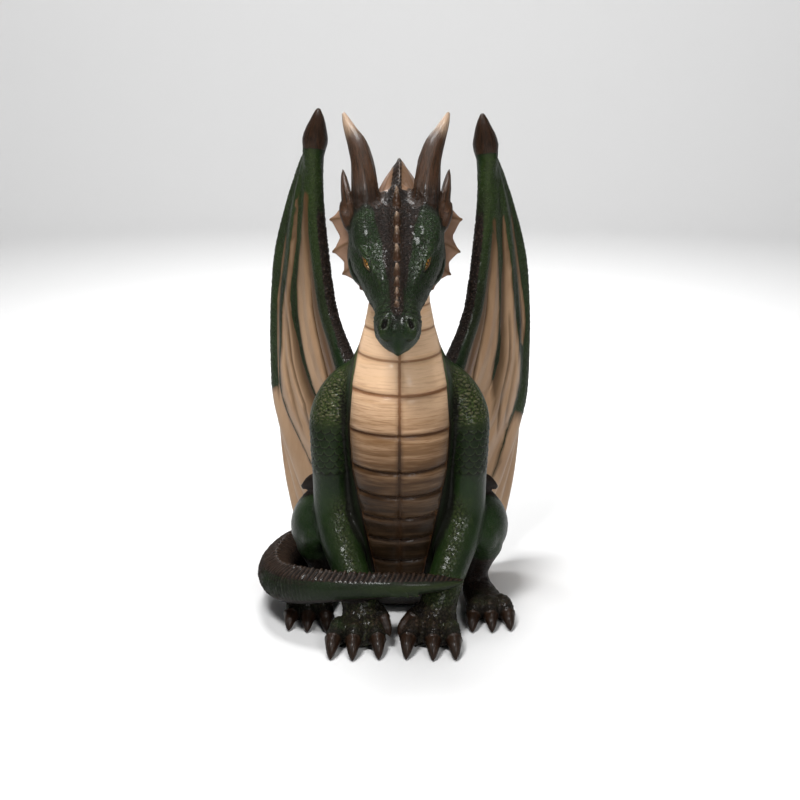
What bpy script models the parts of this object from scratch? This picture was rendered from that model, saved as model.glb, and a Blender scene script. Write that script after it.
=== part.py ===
"""Seated dragon statue, 1.2 m tall, modelled as the one hollow casting that it is.

Metres, +Z up. The dragon sits facing -Y with its tail laid across its front ankles. Every form is
a loft through named stations or a sheet between named edges; the forms are fused into one skin,
the joins are filled as a modeller would fill them with clay, and the belly plates, scutes, toes
and folds are then pressed into it.
"""
import math

import bpy
import bmesh
import numpy as np

# Where the body's middle plane stands from the middle of the statue's box (the tail reaches
# further out on one side, the wings further back than the paws reach forward).
BODY_SHIFT = (0.006, -0.021, 0.0)

SKIN_STEP = 0.0042        # grain of the fused skin before it is simplified
FILL_PASSES = 26          # how far the joins are filled
TRIANGLES = 9800          # faces left on the finished solid
UNDERSIDE_SNAP = 0.0012   # what comes this near the ground lies flat on it

# Torso and neck: x, y, z, half width, depth to the front, depth to the back, squareness
TORSO = [
    (0, 0.130, 0.020, 0.120, 0.100, 0.110, 2.2),
    (0, 0.120, 0.060, 0.150, 0.150, 0.140, 2.2),
    (0, 0.100, 0.150, 0.152, 0.180, 0.150, 2.2),
    (0, 0.060, 0.283, 0.143, 0.190, 0.155, 2.2),
    (0, 0.020, 0.400, 0.134, 0.190, 0.160, 2.2),
    (0, -0.010, 0.500, 0.138, 0.170, 0.155, 2.2),
    (0, -0.020, 0.590, 0.133, 0.152, 0.135, 2.1),
    (0, -0.020, 0.665, 0.098, 0.120, 0.100, 2.0),
    (0, -0.015, 0.717, 0.080, 0.082, 0.085, 2.0),
    (0, -0.002, 0.780, 0.068, 0.066, 0.074, 2.0),
    (0, 0.008, 0.840, 0.064, 0.062, 0.070, 2.0),
    (0, -0.006, 0.910, 0.064, 0.062, 0.070, 2.0),
    (0, -0.045, 0.965, 0.066, 0.064, 0.068, 2.0),
    (0, -0.085, 0.985, 0.070, 0.066, 0.060, 2.0),
]
# Head: the skull's axis runs down and forward from the crown
CROWN = (0.0, -0.130, 1.021)
HEAD_LEAN = -0.008
HEAD_PITCH = math.radians(56.0)
# along the skull, above its axis, half width, height above, depth below, squareness
SKULL = [
    (-0.022, -0.060, 0.055, 0.022, 0.045, 2.0),
    (-0.006, -0.050, 0.088, 0.044, 0.075, 2.2),
    (0.015, -0.045, 0.104, 0.056, 0.088, 2.3),
    (0.070, -0.045, 0.106, 0.062, 0.094, 2.3),
    (0.124, -0.045, 0.103, 0.067, 0.090, 2.3),
    (0.166, -0.043, 0.087, 0.066, 0.080, 2.3),
    (0.208, -0.040, 0.068, 0.061, 0.066, 2.3),
    (0.246, -0.034, 0.050, 0.054, 0.052, 2.4),
    (0.286, -0.026, 0.052, 0.050, 0.044, 2.6),
    (0.314, -0.022, 0.047, 0.045, 0.038, 2.5),
    (0.335, -0.019, 0.029, 0.032, 0.030, 2.2),
    (0.346, -0.016, 0.011, 0.014, 0.018, 2.0),
]
# Horns: x, y, z, half width, half depth (one side; the other is its mirror)
HORN = [
    (0.066, -0.110, 0.985, 0.033, 0.036), (0.066, -0.118, 1.020, 0.0315, 0.034),
    (0.070, -0.100, 1.062, 0.0285, 0.029), (0.076, -0.075, 1.103, 0.0255, 0.026),
    (0.086, -0.050, 1.135, 0.0225, 0.023), (0.100, -0.026, 1.160, 0.0160, 0.017),
    (0.111, -0.003, 1.182, 0.0105, 0.011), (0.118, 0.014, 1.198, 0.0055, 0.0055),
]
ARM = [
    (0.085, 0.008, 0.590, 0.050, 0.055), (0.127, -0.008, 0.553, 0.056, 0.062),
    (0.155, -0.026, 0.503, 0.056, 0.064), (0.163, -0.036, 0.444, 0.047, 0.060),
    (0.161, -0.035, 0.380, 0.046, 0.056), (0.158, -0.029, 0.315, 0.048, 0.056),
    (0.153, -0.036, 0.262, 0.051, 0.054), (0.141, -0.068, 0.212, 0.049, 0.050),
    (0.122, -0.110, 0.165, 0.044, 0.044), (0.104, -0.146, 0.122, 0.042, 0.040),
    (0.090, -0.172, 0.080, 0.044, 0.040), (0.088, -0.195, 0.048, 0.046, 0.038),
]
THIGH = [
    (0.100, 0.185, 0.150, 0.090, 0.120), (0.140, 0.140, 0.180, 0.096, 0.116),
    (0.178, 0.080, 0.200, 0.082, 0.100), (0.200, 0.030, 0.208, 0.068, 0.082),
    (0.206, -0.010, 0.205, 0.052, 0.066), (0.204, -0.034, 0.196, 0.032, 0.042),
]
SHANK = [
    (0.206, 0.000, 0.175, 0.046, 0.055), (0.196, 0.030, 0.125, 0.036, 0.045),
    (0.188, 0.040, 0.080, 0.031, 0.038), (0.192, 0.030, 0.045, 0.036, 0.040),
]
# Hind foot: x, y, z, half width, height above and below
HIND_FOOT = [
    (0.190, 0.050, 0.034, 0.034, 0.034, 0.036), (0.196, 0.015, 0.036, 0.039, 0.036, 0.039),
    (0.205, -0.020, 0.034, 0.044, 0.032, 0.037), (0.214, -0.055, 0.028, 0.046, 0.026, 0.031),
]
SOLE = 0.003              # how far the feet are modelled into the ground before it trims them
# Tail: x, y, z, half width, half height
TAIL = [
    (0.000, 0.190, 0.110, 0.095, 0.095), (-0.060, 0.260, 0.092, 0.078, 0.078),
    (-0.160, 0.275, 0.078, 0.062, 0.064), (-0.245, 0.215, 0.080, 0.053, 0.056),
    (-0.292, 0.110, 0.088, 0.047, 0.048), (-0.302, 0.010, 0.096, 0.044, 0.045),
    (-0.283, -0.080, 0.105, 0.043, 0.044), (-0.236, -0.148, 0.121, 0.040, 0.043),
    (-0.165, -0.190, 0.135, 0.034, 0.036), (-0.090, -0.206, 0.142, 0.030, 0.030),
    (0.000, -0.212, 0.147, 0.028, 0.026), (0.080, -0.206, 0.149, 0.022, 0.018),
    (0.125, -0.196, 0.149, 0.013, 0.010), (0.146, -0.190, 0.149, 0.005, 0.005),
]
TAIL_SCUTES = 44
TAIL_SCUTE_HEIGHT = 0.0055

# Wings: the arm and the fingers, from the wrist down; x, y, z
WING_ARM = [
    (0.202, 0.128, 1.110), (0.202, 0.140, 1.039), (0.200, 0.140, 0.975),
    (0.192, 0.135, 0.880), (0.183, 0.125, 0.802), (0.170, 0.110, 0.722),
    (0.144, 0.085, 0.646), (0.120, 0.062, 0.586), (0.090, 0.060, 0.530),
]
WING_ARM_SIZES = [0.0265, 0.0215, 0.021, 0.0215, 0.0215, 0.022, 0.024, 0.030, 0.034]
WING_CLAW = [
    (0.201, 0.131, 1.095, 0.024, 0.024), (0.198, 0.125, 1.128, 0.031, 0.029),
    (0.195, 0.117, 1.150, 0.027, 0.026), (0.191, 0.108, 1.172, 0.0195, 0.019),
    (0.189, 0.101, 1.190, 0.0125, 0.012), (0.188, 0.097, 1.200, 0.0075, 0.007),
]
WING_FINGERS = [
    [(0.203, 0.140, 1.105), (0.225, 0.155, 1.068), (0.235, 0.175, 0.995),
     (0.244, 0.195, 0.912), (0.252, 0.215, 0.763), (0.250, 0.215, 0.660),
     (0.228, 0.205, 0.531), (0.205, 0.190, 0.480), (0.130, 0.130, 0.420)],
    [(0.208, 0.150, 1.104), (0.244, 0.200, 1.009), (0.270, 0.240, 0.906),
     (0.294, 0.280, 0.751), (0.304, 0.290, 0.644), (0.303, 0.285, 0.500),
     (0.287, 0.275, 0.431), (0.247, 0.250, 0.350), (0.210, 0.220, 0.290),
     (0.135, 0.170, 0.230)],
    [(0.210, 0.150, 1.112), (0.228, 0.175, 1.076), (0.249, 0.215, 1.022),
     (0.268, 0.252, 0.950), (0.286, 0.293, 0.859), (0.301, 0.322, 0.753),
     (0.309, 0.345, 0.672), (0.310, 0.358, 0.585), (0.306, 0.360, 0.496),
     (0.303, 0.358, 0.409), (0.286, 0.345, 0.320), (0.270, 0.325, 0.225),
     (0.240, 0.295, 0.130), (0.160, 0.230, 0.070)],
]
WING_TRAILING_EDGE = [
    (0.311, 0.350, 0.640), (0.313, 0.362, 0.560), (0.314, 0.366, 0.496),
    (0.313, 0.364, 0.410), (0.308, 0.356, 0.325), (0.299, 0.344, 0.244),
    (0.288, 0.334, 0.184), (0.272, 0.320, 0.124), (0.242, 0.295, 0.075),
    (0.165, 0.235, 0.045),
]
WING_DROP = 0.012         # the wing at +X stands this much lower at its tip
FINGER_SIZE = (0.0105, 0.0060)     # radius of a finger at the wrist and at its end
MEMBRANE_THICKNESS = 0.0115
BILLOWS = (0.028, 0.030, 0.022, 0.008)   # how far each panel swells
BILLOWS_AHEAD = (1.0, 0.9, 0.1, 0.0)     # 1 where it swells straight to the front, 0 outwards

# Cheek frills: where the sheet leaves the head, and its points, top to bottom
FRILL_ROOT = [(0.088, -0.075, 1.005), (0.090, -0.095, 0.955), (0.084, -0.110, 0.900),
              (0.070, -0.120, 0.850), (0.048, -0.125, 0.815)]
FRILL_RIM = [(0.119, -0.060, 1.000), (0.148, -0.055, 0.968), (0.127, -0.068, 0.930),
             (0.143, -0.075, 0.898), (0.118, -0.088, 0.876), (0.121, -0.095, 0.850),
             (0.098, -0.105, 0.840), (0.081, -0.112, 0.820), (0.062, -0.120, 0.812)]
FRILL_THICKNESS = 0.0095

# Keel spikes along the head: how far along the skull, and length
HEAD_KEEL = [(0.010, 0.052), (0.064, 0.036), (0.104, 0.040), (0.147, 0.038), (0.186, 0.030),
             (0.211, 0.022), (0.235, 0.018), (0.257, 0.015)]
NAPE_CREST_TOP = 1.100
BACK_SCUTES = 20

# Feet: claw tips, x and y on the ground; both front paws turn a little to the same side
FRONT_CLAWS = {-1: [(-0.157, -0.298), (-0.107, -0.304), (-0.047, -0.298)],
               1: [(0.015, -0.297), (0.076, -0.304), (0.1275, -0.302)]}
HIND_CLAWS = [(0.263, -0.140), (0.219, -0.150), (0.172, -0.150)]

# Belly plates: z of each groove on the front of the body, and the panel's half width by z
BELLY_GROOVES = (0.166, 0.226, 0.286, 0.344, 0.405, 0.495, 0.586, 0.660, 0.717, 0.768, 0.815)
BELLY_WIDTHS = [(0.060, 0.050), (0.130, 0.058), (0.159, 0.063), (0.283, 0.087), (0.401, 0.109),
                (0.501, 0.114), (0.601, 0.107), (0.665, 0.096), (0.717, 0.085), (0.800, 0.074),
                (0.900, 0.070)]
BELLY_SAG = ((0.280, 0.340, 0.400, 0.500, 0.600, 0.700),     # how much higher the grooves end
             (0.007, 0.012, 0.013, 0.004, 0.009, 0.003))     # at the panel's sides, by z
BELLY_RAISE = 0.0055
GROOVE_DEPTH = 0.0055
GROOVE_HALF_WIDTH = 0.0055


def spline(rows, count):
    """`count` samples evenly spaced along a smooth curve through the rows."""
    rows = np.asarray(rows, float)
    gap = np.maximum(np.linalg.norm(np.diff(rows[:, :3], axis=0), axis=1), 1e-6) ** 0.5
    knots = np.concatenate([[0.0], np.cumsum(gap)])
    slope = np.diff(rows, axis=0) / gap[:, None]
    share = gap[:-1] / (gap[:-1] + gap[1:])
    tangent = np.vstack([slope[:1],
                         slope[:-1] * (1 - share)[:, None] + slope[1:] * share[:, None],
                         slope[-1:]])
    where = np.linspace(0.0, knots[-1], 24 * len(rows))
    i = np.clip(np.searchsorted(knots, where, side="right") - 1, 0, len(gap) - 1)
    t = ((where - knots[i]) / gap[i])[:, None]
    h = gap[i][:, None]
    fine = ((2 * t**3 - 3 * t**2 + 1) * rows[i] + (t**3 - 2 * t**2 + t) * h * tangent[i]
            + (3 * t**2 - 2 * t**3) * rows[i + 1] + (t**3 - t**2) * h * tangent[i + 1])
    run = np.concatenate([[0], np.cumsum(np.linalg.norm(np.diff(fine[:, :3], axis=0), axis=1))])
    even = np.linspace(0.0, run[-1], count)
    return np.stack([np.interp(even, run, fine[:, c]) for c in range(rows.shape[1])], axis=1)


def unit(v):
    return v / np.maximum(np.linalg.norm(v, axis=-1, keepdims=True), 1e-12)


class Shells:
    """Closed shells gathered for fusing."""

    def __init__(self):
        self.points, self.faces, self.count = [], [], 0

    def add(self, points, faces, mirror=False):
        points = np.asarray(points, float)
        self.points.append(points)
        self.faces += [[i + self.count for i in face] for face in faces]
        self.count += len(points)
        if mirror:
            self.add(points * (-1.0, 1.0, 1.0), [face[::-1] for face in faces])

    def loft(self, rows, up, rings=24, around=20, round_start=True, round_end=True, mirror=False):
        """A closed form through stations of centre, half width, height above and below."""
        rows = np.asarray(rows, float)
        if rows.shape[1] == 4:
            rows = np.column_stack([rows, rows[:, 3]])
        if rows.shape[1] == 5:
            rows = np.column_stack([rows, rows[:, 4]])
        if rows.shape[1] == 6:
            rows = np.column_stack([rows, np.full(len(rows), 2.0)])
        s = spline(rows, rings)
        along = unit(np.gradient(s[:, :3], axis=0))
        above = unit(np.asarray(up, float) - along * (along @ np.asarray(up, float))[:, None])
        side = np.cross(along, above)
        start, end = [], []
        for phase in (75, 50, 25):
            c, d = math.cos(math.radians(phase)), math.sin(math.radians(phase))
            start.append((0, c, -d))
            end.insert(0, (len(s) - 1, c, d))
        plan = (start if round_start else []) + [(i, 1.0, 0.0) for i in range(len(s))]
        plan += end if round_end else []
        angle = np.arange(around) * 2 * math.pi / around
        cos, sin = np.cos(angle), np.sin(angle)
        points = []
        for i, scale, ahead in plan:
            power = 2.0 / s[i, 6]
            reach = np.where(sin > 0, s[i, 4], s[i, 5])
            across = np.sign(cos) * np.abs(cos) ** power * s[i, 3] * scale
            height = np.sign(sin) * np.abs(sin) ** power * reach * scale
            shift = ahead * min(s[i, 3], (s[i, 4] + s[i, 5]) / 2)
            points.append(s[i, :3] + along[i] * shift + across[:, None] * side[i]
                          + height[:, None] * above[i])
        n = len(plan)
        points = np.concatenate(points + [points[0].mean(0)[None], points[-1].mean(0)[None]])
        faces = []
        for r in range(n - 1):
            for k in range(around):
                k2 = (k + 1) % around
                faces.append([r * around + k, r * around + k2,
                              (r + 1) * around + k2, (r + 1) * around + k])
        for k in range(around):
            k2 = (k + 1) % around
            faces.append([n * around, k2, k])
            faces.append([n * around + 1, (n - 1) * around + k, (n - 1) * around + k2])
        self.add(points, faces, mirror)

    def ball(self, centre, axes, mirror=False):
        """An ellipsoid from its three half axes, as rows."""
        bm = bmesh.new()
        bmesh.ops.create_uvsphere(bm, u_segments=20, v_segments=12, radius=1.0)
        points = np.array([v.co[:] for v in bm.verts]) @ np.asarray(axes, float)
        faces = [[v.index for v in f.verts] for f in bm.faces]
        bm.free()
        self.add(points + np.asarray(centre, float), faces, mirror)

    def sheet(self, grid, thickness, mirror=False):
        """A closed slab about a grid of points, rows by columns."""
        grid = np.asarray(grid, float)
        normal = unit(np.cross(np.gradient(grid, axis=0), np.gradient(grid, axis=1)))
        half = np.broadcast_to(np.asarray(thickness, float) / 2, grid.shape[:2])[..., None]
        rows, cols = grid.shape[:2]
        points = np.concatenate([(grid + normal * half).reshape(-1, 3),
                                 (grid - normal * half).reshape(-1, 3)])
        back = rows * cols
        faces = []
        for r in range(rows - 1):
            for c in range(cols - 1):
                a, b = r * cols + c, r * cols + c + 1
                d, e = a + cols, b + cols
                faces.append([a, d, e, b])
                faces.append([back + a, back + b, back + e, back + d])
        rim = ([c for c in range(cols)] + [r * cols + cols - 1 for r in range(1, rows)]
               + [(rows - 1) * cols + c for c in range(cols - 2, -1, -1)]
               + [r * cols for r in range(rows - 2, 0, -1)])
        for i, a in enumerate(rim):
            b = rim[(i + 1) % len(rim)]
            faces.append([a, b, back + b, back + a])
        self.add(points, faces, mirror)


SKULL_ALONG = np.array((0.0, -math.cos(HEAD_PITCH), -math.sin(HEAD_PITCH)))
SKULL_ABOVE = np.array((0.0, -math.sin(HEAD_PITCH), math.cos(HEAD_PITCH)))


def on_head(x, along, above):
    """A place given across, along and above the skull's axis."""
    return np.array(CROWN) + np.array((x, 0, 0)) + SKULL_ALONG * along + SKULL_ABOVE * above


def lean_head(shells, first):
    """Set the head, from its first shell on, slightly to one side, as it was modelled."""
    for points in shells.points[first:]:
        down = np.clip((np.array(CROWN) - points) @ -SKULL_ALONG / 0.36, 0, 1)
        points[:, 0] += HEAD_LEAN * (1 - 0.65 * down)


def add_body(shells):
    """Torso with the neck, upper limbs and feet."""
    shells.loft(TORSO, (0, -1, 0), rings=90, around=72)
    shells.loft(ARM, (0, -1, 0), rings=50, around=32, mirror=True)
    shells.loft(THIGH, (0, 0, 1), rings=44, around=44, mirror=True)
    shells.loft(SHANK, (0, -1, 0.3), rings=24, around=24, mirror=True)
    shells.loft(HIND_FOOT, (0, 0, 1), rings=24, around=24, mirror=True)


def add_toes(shells, tips, heel, height, toe, claw, reach, mirror=False):
    """Toes fanned from the foot, flat underneath, to claws that touch the ground."""
    for x, y in tips:
        def place(share, back, z):
            return heel[0] + (x - heel[0]) * share, y + reach * back, z

        def rest(at, size):
            return (*at, size, size, at[2] + SOLE)

        root = (heel[0] + (x - heel[0]) * 0.35, heel[1], height * 0.80)
        knuckle, end = place(0.72, 1.55, height), place(0.93, 1.0, height * 0.62)
        shells.loft([rest(root, toe), rest(knuckle, toe * 1.06),
                     rest(place(0.83, 1.25, height * 0.86), toe * 0.98),
                     rest(end, toe * 0.88)], (0, 0, 1), rings=14, around=18, mirror=mirror)
        shells.loft([(*place(0.91, 1.28, height * 0.68), claw * 0.90, claw * 0.95),
                     (*end, claw, claw * 1.05),
                     (*place(0.96, 0.58, height * 0.52), claw * 0.88, claw * 0.88),
                     (*place(0.99, 0.22, height * 0.24), claw * 0.54, claw * 0.54),
                     (x, y, SOLE, claw * 0.16, claw * 0.16)], (0, 0, 1), rings=14, around=14,
                    mirror=mirror)


def add_feet(shells):
    for side in (-1, 1):
        tips = FRONT_CLAWS[side]
        middle, wrist = tips[1][0], side * 0.088
        palm = wrist + (middle - wrist) * 0.45
        shells.loft([(side * 0.090, -0.175, 0.060, 0.043, 0.040, 0.060 + SOLE),
                     ((wrist + palm) / 2, -0.208, 0.046, 0.047, 0.033, 0.046 + SOLE),
                     (palm, -0.224, 0.034, 0.043, 0.023, 0.034 + SOLE)], (0, 0, 1), rings=18,
                    around=28)
        add_toes(shells, tips, (wrist * 0.8 + palm * 0.2, -0.196), 0.053, 0.0192, 0.0182, 0.050)
        inner = -0.022 if side < 0 else -0.001       # where the small inner claw points
        shells.loft([(side * 0.048, -0.183, 0.078, 0.014, 0.014),
                     (inner * 0.55 + side * 0.024, -0.206, 0.068, 0.013, 0.013),
                     (inner - side * -0.005, -0.228, 0.050, 0.0105, 0.0105),
                     (inner, -0.241, 0.033, 0.003, 0.003)], (0, 0, 1), rings=14, around=12)
    add_toes(shells, HIND_CLAWS, (0.212, -0.045), 0.044, 0.0196, 0.0168, 0.046, mirror=True)
    # the rump that the weight rests on behind
    for x in (-0.075, 0.075):
        shells.ball((x, 0.165, 0.075), np.diag((0.110, 0.120, 0.085)))


def add_head(shells):
    first = len(shells.points)
    shells.loft([(*on_head(0, s, n), w, a, b, p) for s, n, w, a, b, p in SKULL],
                SKULL_ABOVE, rings=44, around=36)
    axes = np.array([(1, 0, 0), SKULL_ALONG, SKULL_ABOVE])

    def lump(x, s, n, sizes, mirror=True):
        shells.ball(on_head(x, s, n), axes * np.array(sizes)[:, None], mirror)

    lump(0.062, 0.072, -0.004, (0.037, 0.072, 0.030))       # brow domes
    lump(0.080, 0.100, -0.070, (0.030, 0.070, 0.050))       # jaw muscles
    lump(0.027, 0.306, 0.012, (0.0195, 0.030, 0.0165))      # nostril swellings
    lump(0.055, 0.156, -0.003, (0.0150, 0.022, 0.0150))     # eyeballs
    shells.loft([(*on_head(0.086, 0.092, -0.002), 0.010), (*on_head(0.070, 0.127, 0.010), 0.0105),
                 (*on_head(0.052, 0.165, 0.014), 0.0090), (*on_head(0.036, 0.205, 0.011), 0.006)],
                SKULL_ABOVE, rings=16, around=10, mirror=True)          # brow ridges
    shells.loft([(*on_head(0.085, 0.122, -0.020), 0.008), (*on_head(0.075, 0.158, -0.022), 0.009),
                 (*on_head(0.056, 0.200, -0.020), 0.007)],
                SKULL_ABOVE, rings=12, around=10, mirror=True)          # cheek folds under the eyes
    # the brow's middle ridge that carries the keel spikes
    shells.loft([(*on_head(0, s, n), 0.013, 0.010, 0.012) for s, n in
                 ((-0.03, 0.000), (0.03, 0.014), (0.10, 0.022), (0.16, 0.024), (0.21, 0.022),
                  (0.26, 0.020), (0.285, 0.016))], SKULL_ABOVE, rings=24, around=12)
    for s, length in HEAD_KEEL:
        base = 0.012 + 0.012 * math.sin(math.pi * min(max((s + 0.02) / 0.30, 0), 1))
        width = 0.0045 + 0.055 * length
        shells.loft([(*on_head(0, s + length * 0.48, base), width * 0.7, 0.004),
                     (*on_head(0, s + length * 0.15, base + 0.004), width, 0.008),
                     (*on_head(0, s - length * 0.20, base + 0.010), width * 0.75, 0.008),
                     (*on_head(0, s - length * 0.50, base + 0.008 + length * 0.30), 0.002, 0.002)],
                    SKULL_ABOVE, rings=10, around=10)
    # horns and the leaf-shaped spikes at their outer sides
    shells.loft(HORN, (0, -1, 0), rings=34, around=22, mirror=True)
    shells.loft([(0.101, -0.120, 0.972, 0.012, 0.018), (0.105, -0.105, 1.005, 0.0145, 0.022),
                 (0.111, -0.085, 1.035, 0.0120, 0.018), (0.116, -0.062, 1.062, 0.0075, 0.011),
                 (0.119, -0.048, 1.080, 0.003, 0.003)], (0, -1, 0.5), rings=16, around=12,
                mirror=True)
    shells.loft([(0.105, -0.125, 0.960, 0.010, 0.013), (0.116, -0.118, 0.988, 0.0095, 0.015),
                 (0.124, -0.104, 1.010, 0.003, 0.003)], (0, -1, 0.5), rings=10, around=12,
                mirror=True)
    root, rim = spline(FRILL_ROOT, 33), np.asarray(FRILL_RIM)
    turns = np.linspace(0, 1, len(rim))
    edge = np.stack([np.interp(np.linspace(0, 1, 33), turns, rim[:, c]) for c in range(3)], 1)
    reach = np.linspace(0, 1, 8)[:, None, None]
    grid = root[None] * (1 - reach) + edge[None] * reach
    grid[:, :, 1] += 0.010 * np.sin(np.linspace(0, 1, 8) * math.pi)[:, None]
    taper = FRILL_THICKNESS * (1.25 - 0.45 * reach[:, :, 0]) * np.ones((1, 33))
    shells.sheet(grid, taper, mirror=True)
    for k in (1, 3, 5, 7):
        start = root[int(32 * k / 8)]
        shells.loft([(*start, 0.0075), (*((start + rim[k]) / 2 + (0, 0.006, 0)), 0.0065),
                     (*rim[k], 0.0040)], (0, -1, 0), rings=8, around=8, mirror=True)
    lean_head(shells, first)


def add_crest(shells):
    """The folded crest behind the crown, and the scutes down the back."""
    # centre, half width and height of the tent-shaped section, from the crown back
    shells.loft([(0, -0.122, 1.000, 0.012, 0.032, 0.03, 1.1),
                 (0, -0.080, 1.006, 0.034, 0.051, 0.06, 1.0),
                 (0, -0.035, 1.012, 0.050, 0.070, 0.08, 1.0),
                 (0, 0.002, 1.018, 0.056, NAPE_CREST_TOP - 1.016, 0.08, 1.0),
                 (0, 0.022, 1.004, 0.052, 0.062, 0.06, 1.0),
                 (0, 0.044, 0.970, 0.042, 0.038, 0.03, 1.1),
                 (0, 0.058, 0.920, 0.026, 0.030, 0.02, 1.3)], (0, 0.25, 1), rings=40, around=40)
    line = spline([(0, 0.050, 1.010, 0.0), (0, 0.078, 0.900, 0.0), (0, 0.078, 0.800, 0.0),
                   (0, 0.082, 0.700, 0.0), (0, 0.118, 0.600, 0.0), (0, 0.150, 0.480, 0.0),
                   (0, 0.190, 0.360, 0.0), (0, 0.222, 0.250, 0.0), (0, 0.232, 0.160, 0.0)],
                  BACK_SCUTES + 1)[:, :3]
    for k in range(BACK_SCUTES):
        a, b = line[k], line[k + 1]
        along = unit(b - a)
        out = unit(np.cross((1.0, 0, 0), along))
        out = out if out[1] > 0 else -out
        high = 0.028 + 0.008 * math.sin(math.pi * k / BACK_SCUTES)
        shells.loft([(*(a - out * 0.012), 0.010, 0.016), (*(a + out * high * 0.35 + along * 0.006),
                     0.009, 0.015), (*(a + out * high * 0.75 + along * 0.016), 0.006, 0.009),
                     (*(a + out * high + along * 0.026), 0.002, 0.003)], along, rings=8, around=10)
    shells.loft([(*(p - unit(np.array((0, 1.0, 0))) * 0.006), 0.014, 0.012) for p in line],
                (0, 1, 0), rings=30, around=10)


def add_tail(shells):
    shells.loft(TAIL, (0, 0, 1), rings=70, around=22)
    path = spline(TAIL, TAIL_SCUTES + 12)[10:-1]
    for k in range(len(path) - 1):
        here, ahead = path[k], path[k + 1]
        along = unit(ahead[:3] - here[:3])
        size = 0.55 + 0.45 * math.sin(math.pi * (k + 4) / (len(path) + 4))
        high = TAIL_SCUTE_HEIGHT * size + 0.002
        crown = here[:3] + np.array((0, 0, here[4] * 0.94))
        shells.loft([(*(crown - along * 0.010 + (0, 0, -0.004)), 0.0075 * size, 0.006),
                     (*(crown + (0, 0, high * 0.45)), 0.0085 * size, 0.006),
                     (*(crown + along * 0.006 + (0, 0, high)), 0.0055, 0.004)],
                    (0, 0, 1), rings=6, around=8)
    # the flattened blade at the tail's end, with three barbs low on its front edge
    for x, y in ((-0.012, -0.236), (0.012, -0.236), (0.034, -0.232)):
        shells.loft([(x - 0.022, y + 0.014, 0.140, 0.010, 0.007), (x - 0.006, y, 0.136, 0.008, 0.006),
                     (x + 0.010, y - 0.008, 0.132, 0.003, 0.003)], (0, 0, 1), rings=8, around=8)


def panel(first, second, billow, ahead, creases, rows=90, cols=26):
    """A membrane between two bones, swelling forward, with creases running down it."""
    a, b = spline(first, rows), spline(second, rows)
    across = np.linspace(0, 1, cols)[None, :, None]
    grid = a[:, None] * (1 - across) + b[:, None] * across
    down = np.linspace(0, 1, rows)[:, None]
    normal = unit(np.cross(np.gradient(grid, axis=0), np.gradient(grid, axis=1)))
    normal *= -np.sign(normal[..., 1:2])
    span = np.linalg.norm(b - a, axis=1)[:, None]
    u = across[..., 0]
    swell = billow * np.sin(math.pi * u) ** 0.7 * np.minimum(span / 0.055, 1.0)
    for place, drift, width, depth, start in creases:
        at = place + drift * down
        fade = np.clip((down - start) / 0.18, 0, 1) * np.clip((1 - down) / 0.1, 0, 1)
        swell = swell - depth * fade * np.exp(-((u - at) / width) ** 2)
    push = unit(normal * (1 - ahead) + np.array((0.0, -ahead, 0.0)))
    return grid + push * swell[..., None]


def add_wings(shells):
    begun = len(shells.points)
    arm = [(*p, r, r) for p, r in zip(WING_ARM, WING_ARM_SIZES)]
    shells.loft(arm, (0, -1, 0), rings=50, around=18, mirror=True)
    shells.loft(WING_CLAW, (0, -1, 0), rings=20, around=18, mirror=True)
    for bone in WING_FINGERS:
        path = spline(bone, 50)
        size = np.linspace(FINGER_SIZE[0], FINGER_SIZE[1], 50)
        shells.loft(np.column_stack([path, size, size]), (0, -1, 0), rings=60, around=12,
                    mirror=True)
    first, second, third = WING_FINGERS
    low = [p for p in third if p[2] < 0.68]
    creases = [
        [(0.38, 0.10, 0.09, 0.014, 0.26), (0.74, -0.04, 0.08, 0.012, 0.38)],
        [(0.62, -0.10, 0.09, 0.013, 0.30)],
        [(0.45, 0.16, 0.09, 0.013, 0.34)],
        [],
    ]
    sides = [(WING_ARM, first), (first, second), (second, third), (low, WING_TRAILING_EDGE)]
    for (a, b), billow, ahead, folds in zip(sides, BILLOWS, BILLOWS_AHEAD, creases):
        shells.sheet(panel(a, b, billow, ahead, folds), MEMBRANE_THICKNESS, mirror=True)
    shells.loft([(*p, 0.0062) for p in WING_TRAILING_EDGE], (0, -1, 0), rings=40, around=10,
                mirror=True)
    for points in shells.points[begun:]:
        if points[:, 0].mean() > 0:
            points[:, 2] -= WING_DROP * np.clip((points[:, 2] - 0.55) / 0.60, 0, 1)
            points[:, 0] += 0.004 * np.clip((points[:, 2] - 0.35) / 0.40, 0, 1)


def add_elbow_fins(shells):
    """Two dark lobes standing out behind each elbow."""
    for base, mid, tip in (((0.165, 0.018, 0.330), (0.209, 0.030, 0.320), (0.236, 0.038, 0.302)),
                           ((0.165, 0.022, 0.292), (0.213, 0.036, 0.280), (0.242, 0.046, 0.260))):
        shells.loft([(*base, 0.009, 0.022), (*mid, 0.008, 0.020), (*tip, 0.0045, 0.008)],
                    (0, 0, 1), rings=14, around=14, mirror=True)


def fuse(shells):
    """One skin round everything, as the arrays of its points and its four-sided faces."""
    mesh = bpy.data.meshes.new("fusing")
    mesh.from_pydata([tuple(p) for p in np.concatenate(shells.points)], [], shells.faces)
    mesh.validate()
    holder = bpy.data.objects.new("fusing", mesh)
    bpy.context.scene.collection.objects.link(holder)
    skin = holder.modifiers.new("skin", "REMESH")
    skin.mode = "VOXEL"
    skin.voxel_size = SKIN_STEP
    skin.adaptivity = 0.0
    graph = bpy.context.evaluated_depsgraph_get()
    fused = bpy.data.meshes.new_from_object(holder.evaluated_get(graph))
    bpy.data.objects.remove(holder)
    bm = bmesh.new()
    bm.from_mesh(fused)
    keep_largest(bm)
    bm.to_mesh(fused)
    bm.free()
    return fused


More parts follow.
